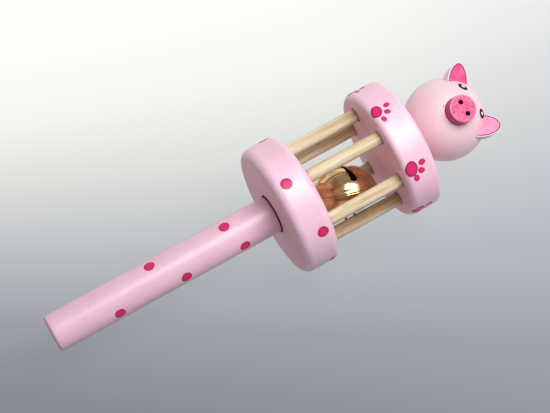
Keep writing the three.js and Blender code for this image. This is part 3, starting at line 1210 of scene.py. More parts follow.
@dataclass
class Cage:
    """The two discs, the dowels between them and the marks on their rims."""

    layout: Layout
    finishes: Finishes
    radius: float = 25.0
    lower_round: float = 3.1
    upper_round: float = 2.1
    edge_steps: int = 14
    rim_steps: int = 8
    # How far inside the rounded edge a flat face has its last ring
    edge_land: float = 0.5
    # A face whose normal lies along X by more than this share belongs to a flat end, which takes the
    # end face paint with its painted bounce light
    end_share: float = 0.93
    sides: int = 144
    hole_sides: int = 64
    handle_radius: float = 7.05
    handle_seat: float = 9.0
    dowel_radius: float = 2.5
    dowel_seat: float = 8.0
    dowel_circle: float = 17.2
    # Degrees from straight up towards -Y
    dowel_angles: tuple[float, ...] = (0.0, 60.0, 112.0, 190.0, 249.0, 296.0)
    dowel_ease: float = 0.7
    dowel_uneven: float = 0.12
    neck_seat: float = 8.0
    clearance: float = 0.12
    glue_line: float = 0.1
    mouth: float = 0.15
    gap_depth: float = 2.0
    handle_gap: float = 0.3
    dot_half: tuple[float, float] = (2.2, 2.1)
    # Along the axis from the lower disc's outer face, and degrees from straight up towards -Y
    dots: tuple[tuple[float, float], ...] = (
        (5.0, 2.8),
        (9.0, 52.9),
        (9.3, -64.0),
        (11.4, 98.0),
        (5.2, 142.0),
        (9.1, 195.0),
        (6.2, 248.0),
    )
    # Along the axis from the upper disc's inner face, degrees, and size of each paw
    paws: tuple[tuple[float, float, float], ...] = (
        (2.4, -15.6, 1.0),
        (3.0, 41.8, 1.14),
        (2.6, 94.0, 1.1),
        (3.0, -65.5, 1.0),
        (2.7, 147.0, 1.05),
        (2.5, 199.0, 1.1),
        (2.9, 251.0, 1.0),
    )
    pad_half: tuple[float, float] = (2.1, 2.6)
    # Degrees that a pad is turned from the axis
    pad_tilt: float = 20.0
    toe_half: tuple[float, float] = (1.2, 1.0)
    # Along the axis and round the rim from the pad's middle, in millimetres
    toes: tuple[tuple[float, float], ...] = ((4.5, -0.6), (3.25, 2.15), (0.65, 4.15))

    def hole(
        self, radius: float, start: float, stop: float, mouth_at_start: bool, gap: float = 0.0
    ) -> bpy.types.Object:
        """A drilled hole with a slightly broken mouth.

        Args:
            radius: of the peg that goes in.
            start: its lower end along X.
            stop: its upper end.
            mouth_at_start: whether the mouth is at the lower end.
            gap: how much wider the hole is near its mouth.

        Returns:
            The cutter, about the toy's axis.
        """
        inner = radius + self.clearance
        wide = inner + gap + self.mouth
        points = [(start, 0.0), (start, inner), (stop - self.gap_depth, inner)]
        points += [(stop - self.gap_depth, inner + gap)] if gap else []
        points += [(stop - self.mouth, inner + gap), (stop, wide)]
        points += [(stop + PAST, wide), (stop + PAST, 0.0)]
        if mouth_at_start:
            points = [(start + stop - x, across) for x, across in points]
        # A hole with a gap is lined with painted shade, the dark crevice round the handle
        lining = self.finishes.groove if gap else self.finishes.wood
        return new_object("hole", turned(points, self.hole_sides), Matrix(), lining)

    def disc(
        self, name: str, start: float, stop: float, edge: float, holes: Sequence[bpy.types.Object]
    ) -> bpy.types.Object:
        """Turns a disc and drills it.

        Args:
            name: the piece's name.
            start: its lower face along X.
            stop: its upper face.
            edge: the radius of its rounded edges.
            holes: the cutters, about the toy's axis.

        Returns:
            The disc.
        """
        inset = self.radius - edge
        profile = [(start, 0.0), (start, inset - self.edge_land)]
        profile += arc(start + edge, inset, edge, -90, 0, self.edge_steps)
        flat = stop - start - 2 * edge
        steps = self.rim_steps
        profile += [(start + edge + flat * i / steps, self.radius) for i in range(1, steps)]
        profile += arc(stop - edge, inset, edge, 0, 90, self.edge_steps)
        profile += [(stop, inset - self.edge_land), (stop, 0.0)]
        shape = turned(profile, self.sides)
        for side in shape.faces:
            # Flat ends take the end face paint, a warmer copy of the pink that paints bounce light
            side.material_index = 1 if abs(side.normal.x) > self.end_share else 0
        paints = (self.finishes.pale, self.finishes.face)
        blank = new_object(name, shape, self.layout.on_axis(), *paints)
        for hole in holes:
            hole.data.transform(Matrix.Translation((0.0, 0.0, self.layout.axis * MM)))
        return smooth(carve(blank, holes))

    def dowel_holes(self, start: float, stop: float, mouth_at_start: bool) -> list[bpy.types.Object]:
        """The dowels' holes in one disc.

        Args:
            start: the holes' lower end along X.
            stop: their upper end.
            mouth_at_start: whether their mouths are at the lower end.

        Returns:
            The cutters.
        """
        holes = []
        for degrees in self.dowel_angles:
            hole = self.hole(self.dowel_radius, start, stop, mouth_at_start)
            hole.data.transform(Matrix.Translation(self.dowel_place(degrees) * MM))
            holes.append(hole)
        return holes

    def dowel_place(self, degrees: float) -> Vector:
        """A dowel's middle, across the toy's axis."""
        angle = math.radians(degrees)
        return Vector((0.0, -math.sin(angle), math.cos(angle))) * self.dowel_circle

    def build_discs(self) -> tuple[bpy.types.Object, bpy.types.Object]:
        """Makes both discs.

        Returns:
            The lower and the upper disc.
        """
        places = self.layout
        low, high = places.lower_outer, places.lower_outer + self.handle_seat
        socket = self.hole(self.handle_radius, low, high, True, self.handle_gap)
        holes = self.dowel_holes(places.lower_inner - self.dowel_seat, places.lower_inner, False)
        low, high = places.lower_outer, places.lower_inner
        lower = self.disc("lower_disc_wood", low, high, self.lower_round, [socket, *holes])
        low, high = places.upper_inner, places.upper_outer
        neck = self.hole(self.dowel_radius, high - self.neck_seat, high, False)
        holes = self.dowel_holes(low, low + self.dowel_seat, True)
        upper = self.disc("upper_disc_wood", low, high, self.upper_round, [neck, *holes])
        return lower, upper

    def dress_dowels(self, recipe: DowelRecipe) -> None:
        """Makes and seats the dowels.

        Args:
            recipe: the tree that makes a dowel.
        """
        places = self.layout
        start = places.lower_inner - self.dowel_seat + self.glue_line
        stop = places.upper_inner + self.dowel_seat - self.glue_line
        spans = {
            f"cage_dowel_{i}": (start, stop, self.dowel_place(degrees))
            for i, degrees in enumerate(self.dowel_angles, 1)
        }
        spans["neck_dowel"] = (places.neck_low, places.neck_high, Vector())
        for node, (low, high, offset) in spans.items():
            middle = Vector(((low + high) / 2, 0.0, places.axis)) + offset
            piece = new_object(f"{node}_wood", bmesh.new(), Matrix())
            values = {
                "Radius": self.dowel_radius * MM,
                "Length": (high - low) * MM,
                "Ease": self.dowel_ease * MM,
                "Unevenness": self.dowel_uneven * MM,
                "Middle": middle * MM,
                "Wood": self.finishes.wood,
            }
            dowel = smooth(recipe.run(piece, values), degrees=50.0)
            seat(dowel, Body.FRAME, Slot.BARE_WOOD, node)

    def paw_marks(self) -> list[Mark]:
        """The paw prints' pads and toes.

        Returns:
            The marks.
        """
        per_degree = math.radians(1) * self.radius
        marks = []
        for x, degrees, size in self.paws:
            x += self.layout.upper_inner
            pad = tuple(part * size for part in self.pad_half)
            toe = tuple(part * size for part in self.toe_half)
            marks.append(rim_mark(x, self.radius, self.layout.axis, degrees, pad, self.pad_tilt))
            for along, around in self.toes:
                turn = degrees + around / per_degree
                lean = math.degrees(math.atan2(around, along))
                marks.append(rim_mark(x + along, self.radius, self.layout.axis, turn, toe, lean))
        return marks

    def dress(self, marker: MarkRecipe, doweler: DowelRecipe) -> None:
        """Makes, paints and seats the cage.

        Args:
            marker: the tree that lays marks.
            doweler: the tree that makes a dowel.
        """
        lower, upper = self.build_discs()
        marks = [
            rim_mark(self.layout.lower_outer + x, self.radius, self.layout.axis, turn, self.dot_half)
            for x, turn in self.dots
        ]
        dots = daub("lower_disc_dots", marks, lower, self.finishes.dot, marker)
        paws = daub("upper_disc_paws", self.paw_marks(), upper, self.finishes.dot, marker)
        seat(lower, Body.FRAME, Slot.PALE_PINK, "lower_disc")
        seat(upper, Body.FRAME, Slot.PALE_PINK, "upper_disc")
        seat(dots, Body.FRAME, Slot.DEEP_PINK)
        seat(paws, Body.FRAME, Slot.DEEP_PINK)
        self.dress_dowels(doweler)


@dataclass(frozen=True)
class Ear:
    """Where an ear stands, in degrees: round the face, out from the snout, and its own stance."""

    node: str
    around: float
    spread: float
    lean: float
    turn: float
    tilt: float


@dataclass(frozen=True)
class Eye:
    """An eye: its direction from the ball's middle, the way its length runs, and its half sizes."""

    aim: Point
    along: Point
    half: tuple[float, float]
    # The glint's half sizes, and its shift across the eye's length
    glint: tuple[float, float] = (0.75, 0.68)
    glint_shift: float = 0.0


@dataclass
class Head:
    """The ball on its foot, with snout, ears and painted eyes."""

    layout: Layout
    finishes: Finishes
    radius: float = 15.4
    ball_sides: int = 128
    ball_steps: int = 84
    foot_radius: float = 6.0
    foot_round: float = 0.4
    foot_steps: int = 4
    # The face's turns in degrees: about the toy's axis, then its own left, then the snout
    turn: float = 17.7
    pitch: float = 6.8
    roll: float = 3.8
    neck_radius: float = 2.5
    neck_seat: float = 10.0
    neck_sides: int = 48
    clearance: float = 0.12
    glue_line: float = 0.1
    snout_radius: float = 5.15
    snout_stand: float = 4.1
    snout_seat: float = 1.3
    snout_round: float = 0.6
    snout_sides: int = 96
    snout_steps: int = 8
    # How far inside the snout's rounded edge its front has its last ring
    snout_land: float = 0.4
    # A face that points forward by less than this is the snout's side, painted dark as shade, and
    # between these its rounded edge, painted with a highlight
    snout_side: float = 0.3
    snout_highlight: tuple[float, float] = (0.6, 0.99)
    nostril_radius: float = 0.92
    nostril_depth: float = 0.5
    nostril_steps: int = 40
    nostril_sides: int = 56
    # Towards the top of the face and to its left, from the snout's middle
    nostrils: tuple[tuple[float, float], ...] = ((0.44, 2.36), (0.44, -2.45))
    ear_width: float = 8.8
    ear_height: float = 7.1
    ear_back_height: float = 5.2
    ear_thickness: float = 3.4
    ear_tenon: float = 2.5
    ear_round: float = 0.4
    ear_border: float = 0.4
    ear_bulge: float = 0.95
    ear_shoulder: float = 0.6
    ear_point: float = 0.45
    ear_steps: int = 22
    ear_edge_steps: int = 5
    ears: tuple[Ear, ...] = (
        Ear("left_ear", 45.6, 57.8, 7.6, 14.7, 5.6),
        Ear("right_ear", -52.5, 48.2, 19.3, -6.8, 14.0),
    )
    eyes: tuple[Eye, ...] = (
        Eye((0.592, 0.241, 0.769), (0.11, -0.221, -0.015), (2.0, 1.6), glint_shift=0.4),
        Eye((0.681, -0.498, 0.537), (-0.052, -0.193, -0.112), (1.85, 1.7)),
    )
    # Thickness and raggedness of the paint
    eye_coat: tuple[float, float] = (0.07, 0.12)
    glint_coat: tuple[float, float] = (0.15, 0.1)
    stroke_coat: tuple[float, float] = (0.03, 0.5)
    stroke: Eye = Eye((-0.152, -0.031, 0.988), (0.089, 0.042, 0.015), (0.75, 0.16))

    def __post_init__(self) -> None:
        """Finds the ball's middle and the face's own axes: +Z snout, +X top of face, +Y left."""
        self.middle = Vector((self.layout.head_top - self.radius, 0.0, self.layout.axis))
        spin = turned_by(("X", self.turn), ("Y", self.pitch), ("Z", self.roll))
        self.face = Matrix.Translation(self.middle) @ spin
        self.snout_floor = math.sqrt(self.radius**2 - self.snout_radius**2) - self.snout_seat
        self.snout_front = self.radius + self.snout_stand

    def ear_outline(self, grow: float) -> list[tuple[float, float]]:
        """An ear's leaf shape.

        Args:
            grow: how far it is grown all round.

        Returns:
            The outline, its tip at +Y.
        """
        half = self.ear_width / 2 + grow
        tip = self.ear_height + grow
        foot = -self.ear_tenon - grow
        shoulder = (half * self.ear_bulge, tip * self.ear_shoulder)
        controls = [(half, 0.0), shoulder, (half * self.ear_point, tip), (0.0, tip)]
        side = []
        for i in range(self.ear_steps + 1):
            t = i / self.ear_steps
            weights = [(1 - t) ** 3, 3 * t * (1 - t) ** 2, 3 * t * t * (1 - t), t**3]
            x = sum(w * c[0] for w, c in zip(weights, controls))
            y = sum(w * c[1] for w, c in zip(weights, controls))
            side.append((x, y))
        back = [(-x, y) for x, y in reversed(side[:-1])]
        return [(-half, foot), (half, foot), *side, *back]

    def ear_shape(self, grow: float, edge: float) -> bmesh.types.BMesh:
        """An ear as a plate with its front at z = 0.

        Args:
            grow: how far it is grown all round.
            edge: the radius of its eased edges, or 0.

        Returns:
            The plate: the front's faces in material 0, its border in 2 and the rest in 1.
        """
        made = bmesh.new()
        outline = self.ear_outline(grow)
        front = [made.verts.new((x, y, grow)) for x, y in outline]
        low = (self.ear_back_height + grow) / (self.ear_height + grow)
        deep = -self.ear_thickness - grow
        back = [made.verts.new((x, y * low if y > 0 else y, deep)) for x, y in outline]
        made.faces.new(front)
        made.faces.new(back[::-1])
        for i in range(len(outline)):
            j = (i + 1) % len(outline)
            made.faces.new((front[j], front[i], back[i], back[j]))
        bmesh.ops.recalc_face_normals(made, faces=made.faces)
        if edge:
            flats = [face for face in made.faces if len(face.verts) > 4]
            edges = {line for face in flats for line in face.edges}
            steps = self.ear_edge_steps
            bmesh.ops.bevel(
                made, geom=list(edges), offset=edge, segments=steps, profile=0.5, affect="EDGES"
            )
        made.normal_update()
        for face in made.faces:
            face.material_index = 1
        front = max(made.faces, key=lambda face: face.normal.z * face.calc_area())
        front.material_index = 0
        if edge:
            rim = bmesh.ops.inset_region(made, faces=[front], thickness=self.ear_border)["faces"]
            for face in rim:
                face.material_index = 2
        return made

    def ear_place(self, ear: Ear) -> Matrix:
        """Where an ear stands.

        Args:
            ear: the ear.

        Returns:
            Its place in the toy's frame.
        """
        around, spread = math.radians(ear.around), math.radians(ear.spread)
        reach = self.radius * math.sin(spread)
        spot = (reach * math.cos(around), reach * math.sin(around), self.radius * math.cos(spread))
        lean = ear.around + ear.lean - 90
        spin = turned_by(("Z", lean), ("Y", ear.turn), ("X", ear.tilt))
        return self.face @ Matrix.Translation(spot) @ spin

    def build_ball(self) -> bpy.types.Object:
        """Turns the ball on its foot and cuts its sockets.

        Returns:
            The ball.
        """
        foot = self.layout.head_foot - self.middle.x
        start = -math.degrees(math.acos(self.foot_radius / self.radius))
        edge, rim = self.foot_round, self.foot_radius - self.foot_round
        profile = [(foot, 0.0), (foot, rim)]
        profile += arc(foot + edge, rim, edge, -90, 0, self.foot_steps)
        profile += arc(0.0, 0.0, self.radius, start, 90, self.ball_steps)
        profile[-1] = (self.radius, 0.0)
        place = Matrix.Translation(self.middle)
        shape = turned(profile, self.ball_sides)
        ball = new_object("head_ball_wood", shape, place, self.finishes.head)
        wide = self.neck_radius + self.clearance
        bore = drill(foot - PAST, foot + self.neck_seat, wide, self.neck_sides)
        neck = new_object("bore", bore, place, self.finishes.wood)
        wide = self.snout_radius + self.clearance
        bore = drill(self.snout_floor, self.snout_front + PAST, wide, self.snout_sides)
        socket = new_object("socket", bore, self.face @ X_TO_Z, self.finishes.head)
        slots = []
        for ear in self.ears:
            shape = self.ear_shape(self.clearance, 0.0)
            paints = [self.finishes.head] * 3
            slots.append(new_object("slot", shape, self.ear_place(ear), *paints))
        return smooth(carve(ball, [neck, socket, *slots]))

    def build_snout(self) -> bpy.types.Object:
        """Turns the snout and sinks its nostrils.

        Returns:
            The snout.
        """
        low, high, edge = self.snout_floor + self.glue_line, self.snout_front, self.snout_round
        inset = self.snout_radius - edge
        profile = [(low, 0.0), (low, self.snout_radius)]
        profile += arc(high - edge, inset, edge, 0, 90, self.snout_steps)
        profile += [(high, inset - self.snout_land), (high, 0.0)]
        place = self.face @ X_TO_Z
        shape = turned(profile, self.snout_sides)
        least, most = self.snout_highlight
        # The side takes the dark paint as painted shade, and the rounded edge the lighter paint as a
        # painted highlight
        for face in shape.faces:
            if face.normal.x < self.snout_side:
                face.material_index = 1
            elif least < face.normal.x < most:
                face.material_index = 2
        paints = (self.finishes.muzzle, self.finishes.border, self.finishes.edge_highlight)
        snout = new_object("snout_wood", shape, place, *paints)
        bulb = (self.nostril_radius**2 + self.nostril_depth**2) / (2 * self.nostril_depth)
        centre = high + bulb - self.nostril_depth
        cutters = []
        for up, left in self.nostrils:
            ball = turned(arc(centre, 0.0, bulb, -90, 90, self.nostril_steps), self.nostril_sides)
            spot = self.face @ Matrix.Translation((up, left, 0.0)) @ X_TO_Z
            cutters.append(new_object("nostril", ball, spot, self.finishes.black))
        return smooth(carve(snout, cutters))

    def eye_mark(self, eye: Eye) -> Mark:
        """An eye as a mark on the ball."""
        aim = Vector(eye.aim).normalized()
        return Mark(self.middle + aim * self.radius, aim, Vector(eye.along).normalized(), eye.half)

    def glint_mark(self, eye: Eye) -> Mark:
        """Places an eye's white glint on the ball.

        Args:
            eye: the eye.

        Returns:
            The glint as a mark.
        """
        aim, along = Vector(eye.aim).normalized(), Vector(eye.along).normalized()
        aim = (aim * self.radius + aim.cross(along) * eye.glint_shift).normalized()
        return Mark(self.middle + aim * self.radius, aim, along, eye.glint)

    def dress(self, marker: MarkRecipe) -> None:
        """Makes, paints and seats the head.

        Args:
            marker: the tree that lays marks.
        """
        ball = self.build_ball()
        eyes = [self.eye_mark(eye) for eye in self.eyes]
        glints = [self.glint_mark(eye) for eye in self.eyes]
        strokes = [self.eye_mark(self.stroke)]
        black = daub("eyes", eyes, ball, self.finishes.black, marker, *self.eye_coat)
        white = daub("eye_glints", glints, ball, self.finishes.white, marker, *self.glint_coat)
        stray = daub("stray_stroke", strokes, ball, self.finishes.stroke, marker, *self.stroke_coat)
        seat(ball, Body.FRAME, Slot.HEAD_PINK, "head_ball")
        for piece in (black, white, stray):
            seat(piece, Body.FRAME, None)
        seat(self.build_snout(), Body.FRAME, Slot.DEEP_PINK, "snout")
        for ear in self.ears:
            shape = self.ear_shape(0.0, self.ear_round)
            place = self.ear_place(ear)
            paints = (self.finishes.deep, self.finishes.head, self.finishes.line)
            plate = new_object(f"{ear.node}_wood", shape, place, *paints)
            seat(smooth(plate, degrees=40.0), Body.FRAME, Slot.DEEP_PINK, ear.node)


@dataclass
class JingleBell:
    """The loose brass bell: two shells, a wire loop, and the steel ball inside."""

    layout: Layout
    finishes: Finishes
    radius: float = 11.7
    pole: float = 9.0
    wall: float = 0.5
    wall_steps: int = 30
    skin_steps: int = 34
    lip: float = 0.35
    lip_height: float = 0.6
    lip_steps: int = 8
    # Degrees from the lip to where the round skin starts
    lip_gap: float = 1.5
    seam_gap: float = 0.04
    # How the bell lies, in degrees: turns about X, then Y, then its own pole
    roll: float = 121.0
    tilt: float = -14.0
    spin: float = -9.0
    slit_width: float = 1.25
    slit_end_radius: float = 1.3
    slit_end_steps: int = 24
    slit_spread: float = 63.0
    slit_taper: float = 5.0
    loop_half_width: float = 1.9
    loop_wire: float = 0.55
    loop_leg: float = 1.2
    leg_clearance: float = 0.12
    leg_steps: int = 6
    bend_steps: int = 32
    leg_hole_sides: int = 28
    pellet_radius: float = 2.4
    pellet_clearance: float = 0.35
    pellet_sides: int = 48
    pellet_steps: int = 28
    # The pellet's waver: how far its skin moves, how far apart its swells lie, and what shifts them
    pellet_waver: float = 0.04
    pellet_swell: float = 1.1
    pellet_seed: float = 9.0
    sides: int = 128

    def __post_init__(self) -> None:
        """Finds where the bell lies: its loop's pole is +Z of its own axes."""
        spin = turned_by(("X", self.roll), ("Y", self.tilt), ("Z", self.spin))
        axis = spin.to_3x3().col[2]
        down = Vector((0.0, 0.0, -1.0))
        down = (down - axis * down.dot(axis)).normalized()
        ring = self.radius - self.wall - self.pellet_clearance - self.pellet_radius
        self.place = Matrix.Translation(self.layout.pellet - down * ring) @ spin
        # Where a cutter through the shell starts and stops, from the bell's middle
        self.through = (self.radius / 2, 1.5 * self.radius)

    def oval(self, inset: float, start: float, stop: float, steps: int) -> list[tuple[float, float]]:
        """A stretch of the shell's flattened outline.

        Args:
            inset: how far inside the shell's outside it lies.
            start: first angle in degrees, counted from the seam.
            stop: last angle.
            steps: how many straight steps it has.

        Returns:
            The points as (along, across).
        """
        ring = arc(0.0, 0.0, 1.0, start, stop, steps)
        return [(x * (self.pole - inset), r * (self.radius - inset)) for x, r in ring]

    def dome(self, inset: float) -> float:
        """How far the shell stands from the seam where the loop's legs go in."""
        share = self.loop_half_width / (self.radius - inset)
        return (self.pole - inset) * math.sqrt(1 - share**2)

    def half_shell(self) -> bmesh.types.BMesh:
        """Half of the shell.

        Returns:
            The shell with its pole at +X and its seam at x = 0.
        """
        seam = self.seam_gap / 2
        top = seam + self.lip_height
        edge = self.lip_height / 2
        out = self.radius + self.lip - edge
        start = math.degrees(math.asin(seam / (self.pole - self.wall)))
        lip_end = math.degrees(math.asin(top / self.pole))
        profile = self.oval(self.wall, 90, start, self.wall_steps)
        profile += arc(seam + edge, out, edge, -90, 90, self.lip_steps)
        profile += self.oval(0.0, lip_end + self.lip_gap, 90, self.skin_steps)
        profile[0], profile[-1] = (self.pole - self.wall, 0.0), (self.pole, 0.0)
        return turned(profile, self.sides)

    def slit_end(self, side: int) -> bmesh.types.BMesh:
        """The cutter for one end of the slit: round, and tapering into the slit.

        Args:
            side: 1 or -1, the way from this end to the slit's middle along Y.

        Returns:
            The cutter, along X from inside the shell to outside it.
        """
        wide, narrow = self.slit_end_radius, self.slit_width / 2
        outline = arc(0.0, 0.0, wide, 0, -180, self.slit_end_steps)
        outline += [(self.slit_taper, -narrow), (self.slit_taper, narrow)]
        made = bmesh.new()
        low, high = ([made.verts.new((x, side * y, z)) for y, z in outline] for x in self.through)
        made.faces.new(low)
        made.faces.new(high)
        for i in range(len(outline)):
            j = (i + 1) % len(outline)
            made.faces.new((low[i], low[j], high[j], high[i]))
        bmesh.ops.recalc_face_normals(made, faces=made.faces)
        return made

    def build_slit_half(self) -> bpy.types.Object:
        """The half with the slit that lets the sound out.

        Returns:
            The shell.
        """
        flip = self.place @ Matrix.Rotation(math.pi, 4, "X")
        brass = self.finishes.brass
        shell = new_object("bell_slit_shell", self.half_shell(), flip @ X_TO_Z, brass)
        spread = math.radians(self.slit_spread)
        rise, run = math.cos(spread), math.sin(spread)
        top = -rise / math.hypot(run / self.radius, rise / self.pole)
        depth = self.pole + top + PAST
        slot = bmesh.new()
        bmesh.ops.create_cube(slot, size=1.0)
        slot.transform(Matrix.Diagonal((self.slit_width, 2 * self.radius, depth, 1.0)))
        slot.transform(Matrix.Translation((0.0, 0.0, top - depth / 2)))
        cutters = [new_object("slit", slot, self.place, brass)]
        for side in (-1, 1):
            angle = math.pi + side * spread
            tip = self.place @ Matrix.Rotation(angle, 4, "X") @ X_TO_Z
            cutters.append(new_object("slit end", self.slit_end(side), tip, brass))
        return smooth(carve(shell, cutters))

    def build_loop_half(self) -> bpy.types.Object:
        """The closed half, with two holes for the loop's legs.

        Returns:
            The shell.
        """
        brass = self.finishes.brass
        shell = new_object("bell_loop_shell", self.half_shell(), self.place @ X_TO_Z, brass)
        cutters = []
        for side in (-1, 1):
            hole = drill(*self.through, self.loop_wire + self.leg_clearance, self.leg_hole_sides)
            spot = self.place @ Matrix.Translation((side * self.loop_half_width, 0.0, 0.0)) @ X_TO_Z
            cutters.append(new_object("leg hole", hole, spot, brass))
        return smooth(carve(shell, cutters))

    def build_loop(self, recipe: WireRecipe) -> bpy.types.Object:
        """Bends the wire loop.

        Args:
            recipe: the tree that makes round wire.

        Returns:
            The loop.
        """
        half = self.loop_half_width
        foot = self.dome(self.wall)
        top = self.dome(0.0) + self.loop_leg
        steps, bends = self.leg_steps, self.bend_steps
        leg = [(half, 0.0, top - (top - foot) * i / steps) for i in range(steps + 1)]
        points = [(-x, y, z) for x, y, z in reversed(leg[1:])]
        for i in range(bends + 1):
            angle = math.pi * (1 - i / bends)
            points.append((half * math.cos(angle), 0.0, top + half * math.sin(angle)))
        points += leg[1:]
        line = bmesh.new()
        verts = [line.verts.new(point) for point in points]
        for first, second in zip(verts, verts[1:]):
            line.edges.new((first, second))
        piece = new_object("bell_wire_loop", line, self.place)
        values = {"Radius": self.loop_wire * MM, "Metal": self.finishes.brass}
        return smooth(recipe.run(piece, values), degrees=50.0)

    def dress(self, recipe: WireRecipe) -> None:
        """Makes and seats the bell and its pellet.

        Args:
            recipe: the tree that makes round wire.
        """
        seat(self.build_slit_half(), Body.BELL, Slot.BRASS, "bell_slit_half")
        seat(self.build_loop_half(), Body.BELL, Slot.BRASS, "bell_loop_half")
        seat(self.build_loop(recipe), Body.BELL, Slot.BRASS, "bell_loop")
        size = self.pellet_radius
        ball = arc(0.0, 0.0, size, -90, 90, self.pellet_steps)
        ball[0], ball[-1] = (-size, 0.0), (size, 0.0)
        shape = turned(ball, self.pellet_sides)
        roughened(shape, self.pellet_waver, self.pellet_swell, self.pellet_seed)
        place = Matrix.Translation(self.layout.pellet)
        pellet = new_object("bell_steel_pellet", shape, place, self.finishes.steel)
        seat(smooth(pellet), Body.PELLET, Slot.STEEL, "bell_pellet")


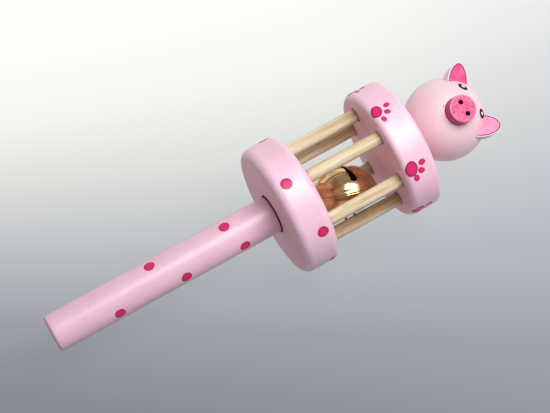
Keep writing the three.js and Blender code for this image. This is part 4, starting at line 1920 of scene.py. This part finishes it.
@dataclass
class Studio:
    """The pale floor, the soft light, the room and the camera."""

    layout: Layout
    lens: float = 111.1
    sensor: float = 36.0
    # In metres
    clip: tuple[float, float] = (0.01, 20.0)
    # From the middle of the handle's free end, in millimetres
    camera_from_handle: Point = (-22.8, -193.7, 571.8)
    camera_right: Point = (0.86198, -0.50691, 0.0)
    camera_forward: Point = (0.18704, 0.31807, -0.9294)
    floor_half: float = 2500.0
    floor_cells: int = 8
    # How far the floor lies under the toy, in millimetres
    floor_drop: float = 0.2
    # The floor's painted glow from the near side of the picture to the far side
    floor_span: tuple[float, float] = (-85.0, 88.0)
    floor_middle: tuple[float, float] = (7.5, 10.5)
    floor_stops: tuple[tuple[float, Colour], ...] = (
        (0.0, (0.217, 0.236, 0.272)),
        (0.2, (0.31, 0.329, 0.363)),
        (0.4, (0.48, 0.507, 0.538)),
        (0.6, (0.702, 0.715, 0.691)),
        (0.8, (0.909, 0.916, 0.866)),
        (1.0, (0.994, 0.998, 0.964)),
    )
    # How much flatter that change is at the picture's right, and how far it moves up there
    floor_flatter: float = 0.333
    floor_lift: float = 0.096
    # About half the picture's width, and the share of it past which the floor stays the same
    floor_width: float = 115.0
    floor_reach: float = 1.1
    # A cooler tint in the floor's painted glow to the right, and from where to where it comes in,
    # across and along
    floor_tint: Colour = (0.945, 0.95, 0.985)
    tint_across: tuple[float, float] = (0.1, 0.9)
    tint_along: tuple[float, float] = (0.15, 0.5)
    # The share of matt in the floor, which takes the toy's shadow, and its colour
    floor_shadow: float = 0.05
    floor_matt: Colour = (0.8, 0.8, 0.8)
    # In metres, with the size along the picture's width and across it, and the power in watts
    softbox_place: Point = (0.24, -0.055, 0.6)
    softbox_size: tuple[float, float] = (0.43, 0.27)
    softbox_power: float = 4.3
    # The room's brightness from the horizon to straight up, and its change along X and Y
    room_stops: tuple[tuple[float, Colour], ...] = (
        (0.0, (0.41, 0.335, 0.345)),
        (0.35, (0.42, 0.39, 0.4)),
        (1.0, (0.34, 0.34, 0.34)),
    )
    room_slope: Point = (0.1, -0.3, 0.0)
    # A dark shape overhead that the bell mirrors: the way to it, how little its length along X
    # counts, where its edge fades, and how dark it is
    dark_way: Point = (0.017, -0.288, 0.957)
    dark_long: float = 0.35
    dark_halves: tuple[float, float] = (0.11, 0.19)
    darkness: float = 0.95

    def build_floor(self) -> None:
        """Lays the floor as a glowing sheet: painted light, brighter towards the far side as a lit
        sweep is.
        """
        made, bench, place = new_material("pale floor")
        forward = Vector(self.camera_forward[:2]).normalized()
        near, far = self.floor_span
        run = place.vector("DOT_PRODUCT", (*forward, 0.0), "Value") / MM
        run = (run - forward.dot(Vector(self.floor_middle)) - near) / (far - near)
        side = place.vector("DOT_PRODUCT", self.camera_right, "Value") / (MM * self.floor_width)
        side = side.math("MINIMUM", self.floor_reach).math("MAXIMUM", -self.floor_reach)
        run = run * (1 - side * self.floor_flatter) + side * self.floor_lift
        sweep = bench.ramp(run, self.floor_stops)
        share = side.ease(*self.tint_across) * run.ease(*self.tint_along)
        sweep = bench.mix(share, sweep, rgba(self.floor_tint), "MULTIPLY")
        # The floor glows: painted light, with a small share of matt that takes the toy's shadow
        glow = bench.node("ShaderNodeEmission", {}, {"Color": sweep})
        matt = bench.node("ShaderNodeBsdfDiffuse", {}, {"Color": rgba(self.floor_matt)})
        inputs = {0: self.floor_shadow, 1: glow, 2: matt}
        shader = bench.node("ShaderNodeMixShader", {}, inputs)
        bench.node("ShaderNodeOutputMaterial", {}, {"Surface": shader})
        sheet = bmesh.new()
        cells = self.floor_cells
        bmesh.ops.create_grid(sheet, x_segments=cells, y_segments=cells, size=self.floor_half)
        floor = new_object("floor", sheet, Matrix.Translation((0.0, 0.0, -self.floor_drop)), made)

    def build_softbox(self) -> None:
        """Hangs the soft light, which faces straight down."""
        data = bpy.data.lights.new("softbox", "AREA")
        data.shape = "RECTANGLE"
        data.size, data.size_y = self.softbox_size
        data.energy = self.softbox_power
        made = linked("softbox", data)
        right = self.camera_right
        made.location = self.softbox_place
        made.rotation_euler = (0.0, 0.0, math.atan2(right[1], right[0]))

    def build_world(self) -> None:
        """Fills the room with soft light, warmer near the horizon, with one dark shape overhead."""
        world = bpy.data.worlds.new("studio room")
        world.use_nodes = True
        world.node_tree.nodes.clear()
        bench = Bench(world.node_tree)
        way = bench.node("ShaderNodeTexCoord", output="Generated")
        slope = way.vector("DOT_PRODUCT", self.room_slope, "Value") + 1
        away = way.vector("SUBTRACT", self.dark_way).vector("MULTIPLY", (self.dark_long, 1.0, 1.0))
        shape = 1 - away.length().ease(*self.dark_halves)
        colour = bench.ramp(way.part("Z"), self.room_stops)
        inputs = {"Color": colour, "Strength": slope * (1 - shape * self.darkness)}
        sky = bench.node("ShaderNodeBackground", {}, inputs)
        bench.node("ShaderNodeOutputWorld", {}, {"Surface": sky})
        bpy.context.scene.world = world

    def build_camera(self) -> None:
        """Sets the camera at the picture's own angle."""
        data = bpy.data.cameras.new("camera")
        data.lens = self.lens
        data.sensor_width = self.sensor
        data.clip_start, data.clip_end = self.clip
        made = linked("camera", data)
        right = Vector(self.camera_right).normalized()
        back = -Vector(self.camera_forward).normalized()
        up = back.cross(right).normalized()
        right = up.cross(back)
        turn = Matrix((right, up, back)).transposed().to_4x4()
        start = Vector((self.layout.handle_end, 0.0, self.layout.axis))
        made.matrix_world = Matrix.Translation((start + Vector(self.camera_from_handle)) * MM) @ turn
        bpy.context.scene.camera = made

    def build(self) -> None:
        """Sets up the whole studio."""
        self.build_camera()
        self.build_floor()
        self.build_world()
        self.build_softbox()
        bpy.context.scene.view_settings.view_transform = "Standard"


def main() -> None:
    """Builds the toy and its studio in order."""
    logging.basicConfig(level=logging.INFO, format="%(message)s")
    layout = Layout()
    finishes = Finishes.mixed(layout)
    marker, doweler, wirer = MarkRecipe(), DowelRecipe(), WireRecipe()
    Studio(layout).build()
    Handle(layout, finishes).dress(marker)
    Cage(layout, finishes).dress(marker, doweler)
    Head(layout, finishes).dress(marker)
    JingleBell(layout, finishes).dress(wirer)


if __name__ == "__main__":
    main()
